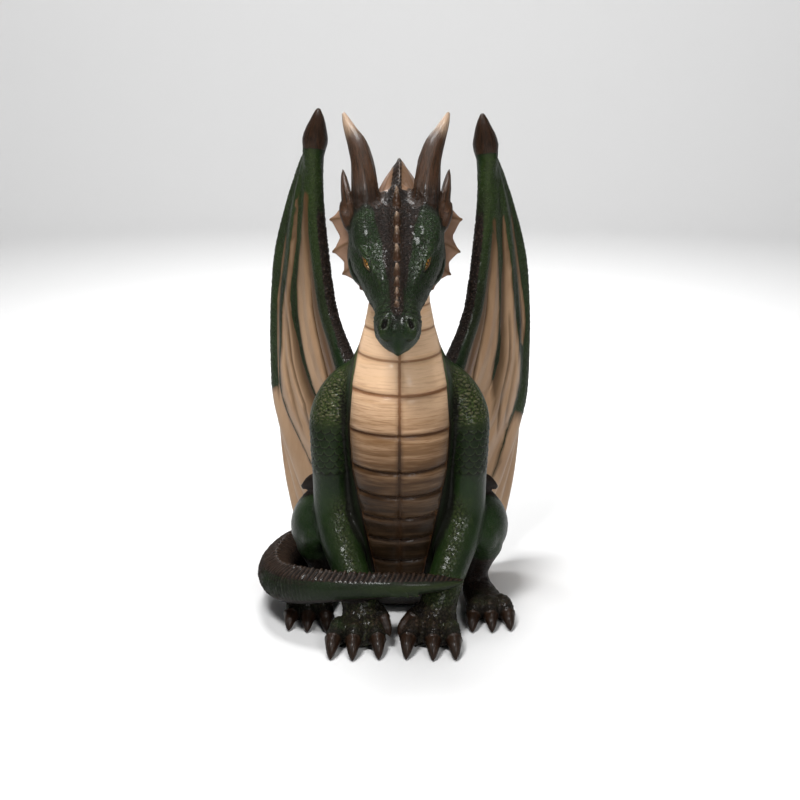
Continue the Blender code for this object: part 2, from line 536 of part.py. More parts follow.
def keep_largest(bm):
    """Leave only the biggest body in it: loose crumbs and inner bubbles go."""
    seen, best = set(), []
    for start in bm.verts:
        if start in seen:
            continue
        group, front = [start], [start]
        seen.add(start)
        while front:
            vert = front.pop()
            for edge in vert.link_edges:
                other = edge.other_vert(vert)
                if other not in seen:
                    seen.add(other)
                    group.append(other)
                    front.append(other)
        if len(group) > len(best):
            best = group
    kept = set(best)
    bmesh.ops.delete(bm, geom=[v for v in bm.verts if v not in kept], context="VERTS")


class Skin:
    """Points, edges and normals of a mesh as arrays, for smoothing and carving."""

    def __init__(self, mesh):
        self.mesh = mesh
        n = len(mesh.vertices)
        self.at = np.empty(n * 3)
        mesh.vertices.foreach_get("co", self.at)
        self.at = self.at.reshape(-1, 3)
        self.edges = np.empty(len(mesh.edges) * 2, np.int32)
        mesh.edges.foreach_get("vertices", self.edges)
        self.edges = self.edges.reshape(-1, 2)
        self.links = np.bincount(self.edges.ravel(), minlength=n)

    def normals(self):
        self.put()
        out = np.empty(len(self.at) * 3)
        self.mesh.vertex_normals.foreach_get("vector", out)
        return out.reshape(-1, 3)

    def put(self):
        self.mesh.vertices.foreach_set("co", self.at.ravel())
        self.mesh.update()

    def pull(self):
        """From each point to the mean of its neighbours."""
        a, b = self.edges.T
        total = np.empty_like(self.at)
        for c in range(3):
            total[:, c] = (np.bincount(a, self.at[b, c], len(self.at))
                           + np.bincount(b, self.at[a, c], len(self.at)))
        return total / self.links[:, None] - self.at

    def fill_joins(self, passes):
        """Raise the bottoms of the creases and leave the ridges as they are."""
        for k in range(passes):
            if k % 4 == 0:
                normal = self.normals()
            pull = self.pull()
            hollow = np.clip(np.einsum("ij,ij->i", pull, normal) / (SKIN_STEP * 0.10), 0, 1)
            self.at += pull * (0.10 + 0.62 * hollow)[:, None] * 0.8

    def even_out(self, passes):
        """Take the grain off without shrinking."""
        for k in range(passes):
            self.at += self.pull() * 0.5
            self.at -= self.pull() * 0.52


def torso_front(z):
    """The torso's middle line and front depth at a height."""
    rows = spline(TORSO, 200)
    order = np.argsort(rows[:, 2])
    rows = rows[order]
    return [np.interp(z, rows[:, 2], rows[:, c]) for c in (1, 3, 4)]


def carve_belly(skin):
    """Raise the cream belly panel and press the plate grooves into it."""
    normal = skin.normals()
    x, y, z = skin.at.T
    heights, widths = np.array(BELLY_WIDTHS).T
    half = np.interp(z, heights, widths)
    middle, wide, deep = torso_front(z)
    bend = np.clip(1 - np.abs(x / wide) ** 2.2, 0, 1) ** (1 / 2.2)
    front = middle - deep * bend
    near = np.clip(1 - (np.abs(y - front) - 0.020) / 0.014, 0, 1)
    near *= np.clip((z - 0.04) / 0.03, 0, 1) * np.clip((0.93 - z) / 0.03, 0, 1)
    near *= normal[:, 1] < 0.15
    inside = np.clip((half - np.abs(x)) / 0.006, 0, 1)
    strong = np.clip((0.80 - z) / 0.13, 0.30, 1.0)
    lift = BELLY_RAISE * inside
    sag = np.interp(z, *BELLY_SAG) * (x / half) ** 2
    gap = np.min([np.abs(z - sag - groove) for groove in BELLY_GROOVES], axis=0)
    lift -= GROOVE_DEPTH * np.exp(-(gap / GROOVE_HALF_WIDTH) ** 2) * inside * strong
    lift -= GROOVE_DEPTH * 0.8 * np.exp(-(x / GROOVE_HALF_WIDTH) ** 2) * inside
    skin.at += normal * (lift * near * np.clip(strong * 1.3, 0, 1))[:, None]


def carve_head(skin):
    """Nostrils, the mouth's line and the hollows round the eyes."""
    normal = skin.normals()
    local = skin.at - np.array(CROWN)
    s, n = local @ SKULL_ALONG, local @ SKULL_ABOVE
    x = np.abs(local[:, 0] - HEAD_LEAN * (1 - 0.65 * np.clip(s / 0.36, 0, 1)))
    depth = 0.012 * np.exp(-((x - 0.027) / 0.0075) ** 2 - ((s - 0.318) / 0.011) ** 2) * (n > 0)
    line = -0.047 + 0.010 * np.sin(s * 26)
    on_side = (s > 0.12) & (s < 0.352) & (n < 0.0) & (x > 0.004)
    depth = depth + 0.006 * np.exp(-((n - line) / 0.0050) ** 2) * on_side
    skin.at -= normal * depth[:, None]


def seat(skin):
    """Flatten what stands on the ground and put the origin under the middle of the box."""
    skin.at[:, 2] = np.maximum(skin.at[:, 2], 0.0)
    skin.at += np.array(BODY_SHIFT)


def paint():
    """The statue's overall colour: bottle green under a gloss varnish."""
    material = bpy.data.materials.new("green_paint")
    material.use_nodes = True
    shader = material.node_tree.nodes["Principled BSDF"]
    shader.inputs["Base Color"].default_value = (0.030, 0.075, 0.028, 1.0)
    shader.inputs["Roughness"].default_value = 0.32
    shader.inputs["Metallic"].default_value = 0.0
    return material


def model():
    """The statue as one mesh object."""
    shells = Shells()
    for step in (add_body, add_feet, add_head, add_crest, add_tail, add_wings, add_elbow_fins):
        step(shells)
    mesh = fuse(shells)
    skin = Skin(mesh)
    skin.fill_joins(FILL_PASSES)
    skin.even_out(2)
    carve_belly(skin)
    carve_head(skin)
    seat(skin)
    skin.put()
    return mesh


def simplify(mesh):
    """Fewer, larger faces where the form is plain."""
    statue = bpy.data.objects.new("dragon_statue", mesh)
    group = bpy.data.collections.new("seated_dragon")
    bpy.context.scene.collection.children.link(group)
    group.objects.link(statue)
    fewer = statue.modifiers.new("fewer", "DECIMATE")
    fewer.decimate_type = "COLLAPSE"
    fewer.use_collapse_triangulate = True
    fewer.ratio = TRIANGLES / (2.0 * len(mesh.polygons))
    graph = bpy.context.evaluated_depsgraph_get()
    plain = bpy.data.meshes.new_from_object(statue.evaluated_get(graph))
    for vert in plain.vertices:
        if vert.co.z < UNDERSIDE_SNAP:
            vert.co.z = 0.0
    statue.modifiers.clear()
    statue.data = plain
    bpy.data.meshes.remove(mesh)
    plain.materials.clear()
    plain.materials.append(paint())
    return statue


def main():
    for old in list(bpy.data.objects):
        bpy.data.objects.remove(old)
    simplify(model())


main()
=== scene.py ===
"""Seated dragon statue: the painted and varnished casting in fine relief, floor, light and camera.

The fine skin is modelled from the same stations as the plain casting that it stands for, then
scales, cracks, plates and creases are raised on it and it is painted by procedural materials.
"""

import math

import bmesh
import bpy
import numpy as np
from bpy.props import FloatProperty, FloatVectorProperty, IntProperty, PointerProperty
from bpy.types import Operator, Panel, PropertyGroup
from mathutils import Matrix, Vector
from mathutils.bvhtree import BVHTree


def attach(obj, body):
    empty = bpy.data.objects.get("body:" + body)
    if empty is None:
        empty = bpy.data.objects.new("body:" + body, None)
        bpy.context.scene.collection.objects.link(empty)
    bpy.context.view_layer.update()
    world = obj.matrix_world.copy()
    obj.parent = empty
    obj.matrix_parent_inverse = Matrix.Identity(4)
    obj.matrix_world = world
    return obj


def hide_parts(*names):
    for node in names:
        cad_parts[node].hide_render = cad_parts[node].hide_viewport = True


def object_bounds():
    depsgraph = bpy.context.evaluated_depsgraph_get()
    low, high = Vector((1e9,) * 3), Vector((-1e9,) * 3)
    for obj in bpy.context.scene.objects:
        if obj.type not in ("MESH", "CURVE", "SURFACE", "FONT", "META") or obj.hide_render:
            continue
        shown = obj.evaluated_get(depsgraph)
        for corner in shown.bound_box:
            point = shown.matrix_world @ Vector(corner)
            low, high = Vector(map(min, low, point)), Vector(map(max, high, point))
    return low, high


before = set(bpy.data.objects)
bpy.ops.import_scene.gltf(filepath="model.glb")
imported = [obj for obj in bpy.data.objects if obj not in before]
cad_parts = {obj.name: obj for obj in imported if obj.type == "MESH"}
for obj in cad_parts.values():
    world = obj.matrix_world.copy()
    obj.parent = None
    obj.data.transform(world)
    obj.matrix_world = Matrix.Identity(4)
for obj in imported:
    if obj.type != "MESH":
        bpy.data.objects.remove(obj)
CAD_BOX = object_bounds()

bl_info = {
    "name": "Seated dragon statue",
    "version": (1, 0, 0),
    "blender": (4, 5, 0),
    "location": "View3D > Sidebar > Dragon",
    "description": "A seated dragon, cast in one piece, painted and varnished",
    "category": "Object",
}

CASTING = "dragon_statue"        # the plain solid in the frame, and the skin that stands for it

# Where the body's middle plane stands from the middle of the statue's box (the tail reaches
# further out on one side, the wings further back than the paws reach forward).
BODY_SHIFT = (0.006, -0.021, 0.0)

CAST_STEP = 0.0042        # the grain at which the joins were filled on the plain casting,
CAST_PASSES = 26          # and how many times
UNDERSIDE_SNAP = 0.0012   # what comes this near the ground lies flat on it

# Torso and neck: x, y, z, half width, depth to the front, depth to the back, squareness
TORSO = [
    (0, 0.130, 0.020, 0.120, 0.100, 0.110, 2.2),
    (0, 0.120, 0.060, 0.150, 0.150, 0.140, 2.2),
    (0, 0.100, 0.150, 0.152, 0.180, 0.150, 2.2),
    (0, 0.060, 0.283, 0.143, 0.190, 0.155, 2.2),
    (0, 0.020, 0.400, 0.134, 0.190, 0.160, 2.2),
    (0, -0.010, 0.500, 0.138, 0.170, 0.155, 2.2),
    (0, -0.020, 0.590, 0.133, 0.152, 0.135, 2.1),
    (0, -0.020, 0.665, 0.098, 0.120, 0.100, 2.0),
    (0, -0.015, 0.717, 0.080, 0.082, 0.085, 2.0),
    (0, -0.002, 0.780, 0.068, 0.066, 0.074, 2.0),
    (0, 0.008, 0.840, 0.064, 0.062, 0.070, 2.0),
    (0, -0.006, 0.910, 0.064, 0.062, 0.070, 2.0),
    (0, -0.045, 0.965, 0.066, 0.064, 0.068, 2.0),
    (0, -0.085, 0.985, 0.070, 0.066, 0.060, 2.0),
]
# Head: the skull's axis runs down and forward from the crown
CROWN = (0.0, -0.130, 1.021)
HEAD_LEAN = -0.008
HEAD_PITCH = math.radians(56.0)
# along the skull, above its axis, half width, height above, depth below, squareness
SKULL = [
    (-0.022, -0.060, 0.055, 0.022, 0.045, 2.0),
    (-0.006, -0.050, 0.088, 0.044, 0.075, 2.2),
    (0.015, -0.045, 0.104, 0.056, 0.088, 2.3),
    (0.070, -0.045, 0.106, 0.062, 0.094, 2.3),
    (0.124, -0.045, 0.103, 0.067, 0.090, 2.3),
    (0.166, -0.043, 0.087, 0.066, 0.080, 2.3),
    (0.208, -0.040, 0.068, 0.061, 0.066, 2.3),
    (0.246, -0.034, 0.050, 0.054, 0.052, 2.4),
    (0.286, -0.026, 0.052, 0.050, 0.044, 2.6),
    (0.314, -0.022, 0.047, 0.045, 0.038, 2.5),
    (0.335, -0.019, 0.029, 0.032, 0.030, 2.2),
    (0.346, -0.016, 0.011, 0.014, 0.018, 2.0),
]
# Horns: x, y, z, half width, half depth (one side; the other is its mirror)
HORN = [
    (0.066, -0.110, 0.985, 0.033, 0.036), (0.066, -0.118, 1.020, 0.0315, 0.034),
    (0.070, -0.100, 1.062, 0.0285, 0.029), (0.076, -0.075, 1.103, 0.0255, 0.026),
    (0.086, -0.050, 1.135, 0.0225, 0.023), (0.100, -0.026, 1.160, 0.0160, 0.017),
    (0.111, -0.003, 1.182, 0.0105, 0.011), (0.118, 0.014, 1.198, 0.0055, 0.0055),
]
# Leaf-shaped spikes at the horns' outer sides
EAR_SPIKE = [
    (0.101, -0.120, 0.972, 0.012, 0.018), (0.105, -0.105, 1.005, 0.0145, 0.022),
    (0.111, -0.085, 1.035, 0.0120, 0.018), (0.116, -0.062, 1.062, 0.0075, 0.011),
    (0.119, -0.048, 1.080, 0.003, 0.003),
]
LOW_SPIKE = [
    (0.105, -0.125, 0.960, 0.010, 0.013), (0.116, -0.118, 0.988, 0.0095, 0.015),
    (0.124, -0.104, 1.010, 0.003, 0.003),
]
# Limbs of one side, in the same way
ARM = [
    (0.085, 0.008, 0.590, 0.050, 0.055), (0.127, -0.008, 0.553, 0.056, 0.062),
    (0.155, -0.026, 0.503, 0.056, 0.064), (0.163, -0.036, 0.444, 0.047, 0.060),
    (0.161, -0.035, 0.380, 0.046, 0.056), (0.158, -0.029, 0.315, 0.048, 0.056),
    (0.153, -0.036, 0.262, 0.051, 0.054), (0.141, -0.068, 0.212, 0.049, 0.050),
    (0.122, -0.110, 0.165, 0.044, 0.044), (0.104, -0.146, 0.122, 0.042, 0.040),
    (0.090, -0.172, 0.080, 0.044, 0.040), (0.088, -0.195, 0.048, 0.046, 0.038),
]
THIGH = [
    (0.100, 0.185, 0.150, 0.090, 0.120), (0.140, 0.140, 0.180, 0.096, 0.116),
    (0.178, 0.080, 0.200, 0.082, 0.100), (0.200, 0.030, 0.208, 0.068, 0.082),
    (0.206, -0.010, 0.205, 0.052, 0.066), (0.204, -0.034, 0.196, 0.032, 0.042),
]
SHANK = [
    (0.206, 0.000, 0.175, 0.046, 0.055), (0.196, 0.030, 0.125, 0.036, 0.045),
    (0.188, 0.040, 0.080, 0.031, 0.038), (0.192, 0.030, 0.045, 0.036, 0.040),
]
# Hind foot: x, y, z, half width, height above and below
HIND_FOOT = [
    (0.190, 0.050, 0.034, 0.034, 0.034, 0.036), (0.196, 0.015, 0.036, 0.039, 0.036, 0.039),
    (0.205, -0.020, 0.034, 0.044, 0.032, 0.037), (0.214, -0.055, 0.028, 0.046, 0.026, 0.031),
]
SOLE = 0.003              # how far the feet are modelled into the ground before it trims them
# Tail: x, y, z, half width, half height
TAIL = [
    (0.000, 0.190, 0.110, 0.095, 0.095), (-0.060, 0.260, 0.092, 0.078, 0.078),
    (-0.160, 0.275, 0.078, 0.062, 0.064), (-0.245, 0.215, 0.080, 0.053, 0.056),
    (-0.292, 0.110, 0.088, 0.047, 0.048), (-0.302, 0.010, 0.096, 0.044, 0.045),
    (-0.283, -0.080, 0.105, 0.043, 0.044), (-0.236, -0.148, 0.121, 0.040, 0.043),
    (-0.165, -0.190, 0.135, 0.034, 0.036), (-0.090, -0.206, 0.142, 0.030, 0.030),
    (0.000, -0.212, 0.147, 0.028, 0.026), (0.080, -0.206, 0.149, 0.022, 0.018),
    (0.125, -0.196, 0.149, 0.013, 0.010), (0.146, -0.190, 0.149, 0.005, 0.005),
]
TAIL_SCUTES = 44
TAIL_SCUTE_HEIGHT = 0.0055
TAIL_BARBS = (-0.012, -0.236), (0.012, -0.236), (0.034, -0.232)      # x and y

# Wings: the arm from the wrist down (x, y, z, radius), the claw, and the fingers (x, y, z)
WING_ARM = [
    (0.202, 0.128, 1.110, 0.0265), (0.202, 0.140, 1.039, 0.0215), (0.200, 0.140, 0.975, 0.021),
    (0.192, 0.135, 0.880, 0.0215), (0.183, 0.125, 0.802, 0.0215), (0.170, 0.110, 0.722, 0.022),
    (0.144, 0.085, 0.646, 0.024), (0.120, 0.062, 0.586, 0.030), (0.090, 0.060, 0.530, 0.034),
]
WING_CLAW = [
    (0.201, 0.131, 1.095, 0.024, 0.024), (0.198, 0.125, 1.128, 0.031, 0.029),
    (0.195, 0.117, 1.150, 0.027, 0.026), (0.191, 0.108, 1.172, 0.0195, 0.019),
    (0.189, 0.101, 1.190, 0.0125, 0.012), (0.188, 0.097, 1.200, 0.0075, 0.007),
]
WING_FINGERS = [
    [(0.203, 0.140, 1.105), (0.225, 0.155, 1.068), (0.235, 0.175, 0.995),
     (0.244, 0.195, 0.912), (0.252, 0.215, 0.763), (0.250, 0.215, 0.660),
     (0.228, 0.205, 0.531), (0.205, 0.190, 0.480), (0.130, 0.130, 0.420)],
    [(0.208, 0.150, 1.104), (0.244, 0.200, 1.009), (0.270, 0.240, 0.906),
     (0.294, 0.280, 0.751), (0.304, 0.290, 0.644), (0.303, 0.285, 0.500),
     (0.287, 0.275, 0.431), (0.247, 0.250, 0.350), (0.210, 0.220, 0.290),
     (0.135, 0.170, 0.230)],
    [(0.210, 0.150, 1.112), (0.228, 0.175, 1.076), (0.249, 0.215, 1.022),
     (0.268, 0.252, 0.950), (0.286, 0.293, 0.859), (0.301, 0.322, 0.753),
     (0.309, 0.345, 0.672), (0.310, 0.358, 0.585), (0.306, 0.360, 0.496),
     (0.303, 0.358, 0.409), (0.286, 0.345, 0.320), (0.270, 0.325, 0.225),
     (0.240, 0.295, 0.130), (0.160, 0.230, 0.070)],
]
WING_TRAILING_EDGE = [
    (0.311, 0.350, 0.640), (0.313, 0.362, 0.560), (0.314, 0.366, 0.496),
    (0.313, 0.364, 0.410), (0.308, 0.356, 0.325), (0.299, 0.344, 0.244),
    (0.288, 0.334, 0.184), (0.272, 0.320, 0.124), (0.242, 0.295, 0.075),
    (0.165, 0.235, 0.045),
]
WING_DROP = 0.012         # the wing at +X stands this much lower at its tip
FINGER_SIZE = (0.0105, 0.0060)     # radius of a finger at the wrist and at its end
MEMBRANE_THICKNESS = 0.0115
BILLOWS = (0.028, 0.030, 0.022, 0.008)   # how far each panel swells
BILLOWS_AHEAD = (1.0, 0.9, 0.1, 0.0)     # 1 where it swells straight to the front, 0 outwards

# Cheek frills: where the sheet leaves the head, and its points, top to bottom
FRILL_ROOT = [(0.088, -0.075, 1.005), (0.090, -0.095, 0.955), (0.084, -0.110, 0.900),
              (0.070, -0.120, 0.850), (0.048, -0.125, 0.815)]
FRILL_RIM = [(0.119, -0.060, 1.000), (0.148, -0.055, 0.968), (0.127, -0.068, 0.930),
             (0.143, -0.075, 0.898), (0.118, -0.088, 0.876), (0.121, -0.095, 0.850),
             (0.098, -0.105, 0.840), (0.081, -0.112, 0.820), (0.062, -0.120, 0.812)]
FRILL_THICKNESS = 0.0095
FRILL_RIBS = (1, 3, 5, 7)                # the points that a rib runs out to
FRILL_BOX = ((0.060, -0.135, 0.800), (0.160, -0.045, 1.015))

# Keel spikes along the head: how far along the skull, and length
HEAD_KEEL = [(0.010, 0.052), (0.064, 0.036), (0.104, 0.040), (0.147, 0.038), (0.186, 0.030),
             (0.211, 0.022), (0.235, 0.018), (0.257, 0.015)]
NAPE_CREST_TOP = 1.100
BACK_SCUTES = 20

# Feet: claw tips, x and y on the ground; both front paws turn a little to the same side
FRONT_CLAWS = {-1: [(-0.157, -0.298), (-0.107, -0.304), (-0.047, -0.298)],
               1: [(0.015, -0.297), (0.076, -0.304), (0.1275, -0.302)]}
HIND_CLAWS = [(0.263, -0.140), (0.219, -0.150), (0.172, -0.150)]
FRONT_FOOT = (0.053, 0.0182, 0.050)       # height of the knuckles, size of claw, its reach
REAR_FOOT = (0.044, 0.0168, 0.046)
REAR_HEEL = (0.212, -0.045)               # where the hind toes fan out from

# Belly plates: z of each groove on the front of the body, and the panel's half width by z
BELLY_GROOVES = (0.166, 0.226, 0.286, 0.344, 0.405, 0.495, 0.586, 0.660, 0.717, 0.768, 0.815)
BELLY_WIDTHS = [(0.060, 0.050), (0.130, 0.058), (0.159, 0.063), (0.283, 0.087), (0.401, 0.109),
                (0.501, 0.114), (0.601, 0.107), (0.665, 0.096), (0.717, 0.085), (0.800, 0.074),
                (0.900, 0.070)]
BELLY_SAG = ((0.280, 0.340, 0.400, 0.500, 0.600, 0.700),     # how much higher the grooves end
             (0.007, 0.012, 0.013, 0.004, 0.009, 0.003))     # at the panel's sides, by z
BELLY_RAISE = 0.0055

# Elbow fins, two lobes: x, y, z, half width, half height
ELBOW_FINS = (((0.165, 0.018, 0.330, 0.009, 0.022), (0.209, 0.030, 0.320, 0.008, 0.020),
               (0.236, 0.038, 0.302, 0.0045, 0.008)),
              ((0.165, 0.022, 0.292, 0.009, 0.022), (0.213, 0.036, 0.280, 0.008, 0.020),
               (0.242, 0.046, 0.260, 0.0045, 0.008)))

# Eyes: across, along and above the skull; the slit runs forward and inward
EYE = (0.057, 0.153, 0.002)
EYE_LENGTH, EYE_HEIGHT, EYE_PUPIL = 0.0150, 0.0050, -0.003

# Green strips on the wings' fronts. For each wing: the strips over the first and the second
# finger and the green border, as heights with the distances of their edges from the middle;
# then the heights where the three cream panels between them begin, and where the green border
# ends: its height at the second finger and how it slopes down from there to the rear edge.
WING_STRIPS = {
    -1: (((1.085, .222, .227), (0.984, .229, .241), (0.884, .239, .249), (0.834, .2455, .2565),
          (0.784, .252, .264), (0.733, .2555, .270), (0.683, .249, .264), (0.632, .242, .252),
          (0.582, .233, .243), (0.532, .2185, .226), (0.493, .204, .209), (0.470, .206, .196)),
         ((1.085, .2275, .290), (0.980, .2495, .2795), (0.877, .265, .277), (0.825, .273, .284),
          (0.772, .281, .294), (0.720, .292, .3005), (0.667, .2945, .302), (0.615, .296, .301),
          (0.564, .297, .302), (0.511, .2925, .3015), (0.460, .2855, .2955), (0.430, .2755, .283),
          (0.354, .242, .247), (0.306, .2245, .230), (0.280, .226, .218)),
         ((0.924, .2727), (0.877, .283), (0.825, .293), (0.772, .300), (0.720, .3095),
          (0.615, .312), (0.511, .313), (0.480, .300)),
         (1.010, 1.085, 0.924), (0.50, 0.6)),
    1: (((0.965, .2285, .2475), (0.884, .2345, .248), (0.834, .2395, .251), (0.784, .2435, .2477),
         (0.733, .2453, .248), (0.683, .245, .248), (0.632, .2435, .251), (0.582, .2355, .248),
         (0.532, .231, .2335), (0.500, .236, .225)),
        ((0.965, .249, .2725), (0.929, .256, .271), (0.877, .2635, .278), (0.825, .2745, .2855),
         (0.772, .280, .293), (0.720, .2855, .298), (0.667, .294, .3055), (0.615, .301, .305),
         (0.564, .3035, .325), (0.511, .2995, .321), (0.460, .2905, .312), (0.430, .2855, .291),
         (0.208, .265, .2675)),
        ((0.967, .2735), (0.929, .2773), (0.877, .287), (0.825, .2965), (0.772, .3045),
         (0.720, .3145), (0.667, .321), (0.615, .3185), (0.582, .310), (0.430, .285)),
        (0.947, 0.965, 0.967), (0.43, 0.6)),
}
# Creases down each cream panel: place across it at the top and at the foot (0 at the arm's
# side), the heights where it starts and ends, depth
WING_CREASES = (((0.30, 0.60, 0.82, 0.46, 0.0030), (0.12, 0.26, 0.70, 0.46, 0.0022)),
                ((0.60, 0.42, 0.74, 0.36, 0.0026), (0.85, 0.75, 0.62, 0.36, 0.0018)),
                ((0.50, 0.50, 0.70, 0.50, 0.0012),))
ARM_DARK = (-0.15, 0.25)      # the turn round a wing's arm where its dark side begins
WING_BOX = (0.075, 0.010, 0.030)         # a wing lies out from, behind and above this
WING_REACH = 0.022            # what is nearer to a wing's skin than this belongs to it

FORWARD, UPWARD = (0, -1, 0), (0, 0, 1)  # the fronts or tops of forms
SHANK_FRONT, SPIKE_FRONT = (0, -1, 0.3), (0, -1, 0.5)

# What is marked on the skin for the paint, and where it starts. Cream, belly and horn hold how
# far inside their borders a point is, in metres; plate counts the belly plates; the others are
# shares.
# The dark mark, the folds' mark and the leaf mark carry painted shade and painted highlights as
# well as paint.
OUTSIDE = -0.05
MARKS = {"cream": OUTSIDE, "belly": OUTSIDE, "plate": 0.0, "horn": OUTSIDE, "tip": 0.0,
         "brown": 0.0, "dark": 0.0, "leaf": 0.0, "scaly": 0.25, "crack": 0.0, "fold": 0.0}
ALL = slice(None)             # every point
DETAIL_HOLD = 2e-5            # how strongly fine detail is kept when faces are saved

# Sizes of cells, in metres
PEBBLE_SIZE, PATCH_SIZE = 0.0085, 0.045
SHOULDER_CRACKS, FOREARM_CRACKS = (0.017, 0.013, 0.0065), 0.0105
ARM_SCALE_HIGH, ARM_SCALE_WIDE = 0.0145, 0.0190

# How far relief stands up or goes down, in metres
PLATE_SWELL, PLATE_LIP = 0.0022, 0.0012          # belly plates, and where they hang over
BACK_SCALES, SHOULDER_DEPTH, FOREARM_DEPTH = 0.0007, 0.0028, 0.0021
FOOT_KNOBS, CLAW_CUFF = 0.0020, 0.0016
TAIL_RIBS, TAIL_RINGS, TAIL_PEBBLES = 0.0020, 0.0016, 0.0016
NOSTRIL_DEPTH, NOSTRIL_RIM, SNOUT_FOLDS, MOUTH_DEPTH = 0.0100, 0.0024, 0.0011, 0.006
EYE_SINK, EYE_LID, EYE_FURROW = 0.0022, 0.0024, 0.0012
CREST_RIBS, CREST_SPOKES, FRILL_RIB_HEIGHT = 0.0010, 0.0014, 0.0012
HORN_FLUTES, HORN_KNOBS, KEEL_SWELL = 0.0013, 0.0024, 0.0040
STRIP_HEIGHT, STRIP_SCALES = 0.0010, 0.0009      # green strips on the wings
# How far ribs, rings and folds are apart, in metres
TAIL_RIB_STEP, TAIL_RING_STEP, SNOUT_STEP, CREST_STEP = 0.0112, 0.0098, 0.0115, 0.0105

HORN_ROOT = 0.030             # how far up a horn its knobs are
NOSTRIL = (0.0285, 0.305)     # across and along the skull
# The brown along the head's middle: places along the skull, and its half width there
HEAD_BROWN = (-0.02, 0.04, 0.147, 0.25, 0.295), (0.066, 0.047, 0.029, 0.014, 0.006)

# The photograph's camera
CAMERA_PLACE = (0.006, -3.321, 1.420)
CAMERA_PITCH = 15.06
CAMERA_SHIFT = 0.0006
SENSOR = 36.0                 # millimetres

# Softboxes: the setting with their power, place, what they aim at, width and height
SOFTBOXES = {"key_softbox": ("key", (-0.6, -1.8, 2.9), (0, 0, 0.8), 0.75, 0.55),
             "top_softbox": ("top", (-0.1, 0.25, 2.8), (0, 0, 0.6), 0.9, 0.6),
             "front_softbox": ("fill", (0.9, -2.7, 1.9), (0, 0, 0.8), 0.9, 0.8),
             "rear_softbox": ("rear", (-0.9, 2.4, 2.7), (0, 0, 0.7), 0.7, 0.6),
             "backdrop_softbox": ("backdrop", (0.0, 2.6, 3.6), (0, 6.5, 0.0), 3.0, 1.6)}
# The floor's flat radius, the radius of the cove round it, and the height of the backdrop
FLOOR_RADIUS, COVE_RADIUS, BACKDROP_TOP = 6.5, 2.0, 5.0
FLOOR_DROP = 0.0005           # how far the floor lies below the statue's underside


def spline(rows, count):
    """`count` samples evenly spaced along a smooth curve through the rows."""
    rows = np.asarray(rows, float)
    gap = np.maximum(np.linalg.norm(np.diff(rows[:, :3], axis=0), axis=1), 1e-6) ** 0.5
    knots = np.concatenate([[0.0], np.cumsum(gap)])
    slope = np.diff(rows, axis=0) / gap[:, None]
    share = gap[:-1] / (gap[:-1] + gap[1:])
    tangent = np.vstack([slope[:1],
                         slope[:-1] * (1 - share)[:, None] + slope[1:] * share[:, None],
                         slope[-1:]])
    where = np.linspace(0.0, knots[-1], 24 * len(rows))
    i = np.clip(np.searchsorted(knots, where, side="right") - 1, 0, len(gap) - 1)
    t = ((where - knots[i]) / gap[i])[:, None]
    h = gap[i][:, None]
    fine = ((2 * t**3 - 3 * t**2 + 1) * rows[i] + (t**3 - 2 * t**2 + t) * h * tangent[i]
            + (3 * t**2 - 2 * t**3) * rows[i + 1] + (t**3 - t**2) * h * tangent[i + 1])
    run = np.concatenate([[0], np.cumsum(np.linalg.norm(np.diff(fine[:, :3], axis=0), axis=1))])
    even = np.linspace(0.0, run[-1], count)
    return np.stack([np.interp(even, run, fine[:, c]) for c in range(rows.shape[1])], axis=1)


def unit(v):
    """Vectors at length 1."""
    return v / np.maximum(np.linalg.norm(v, axis=-1, keepdims=True), 1e-12)


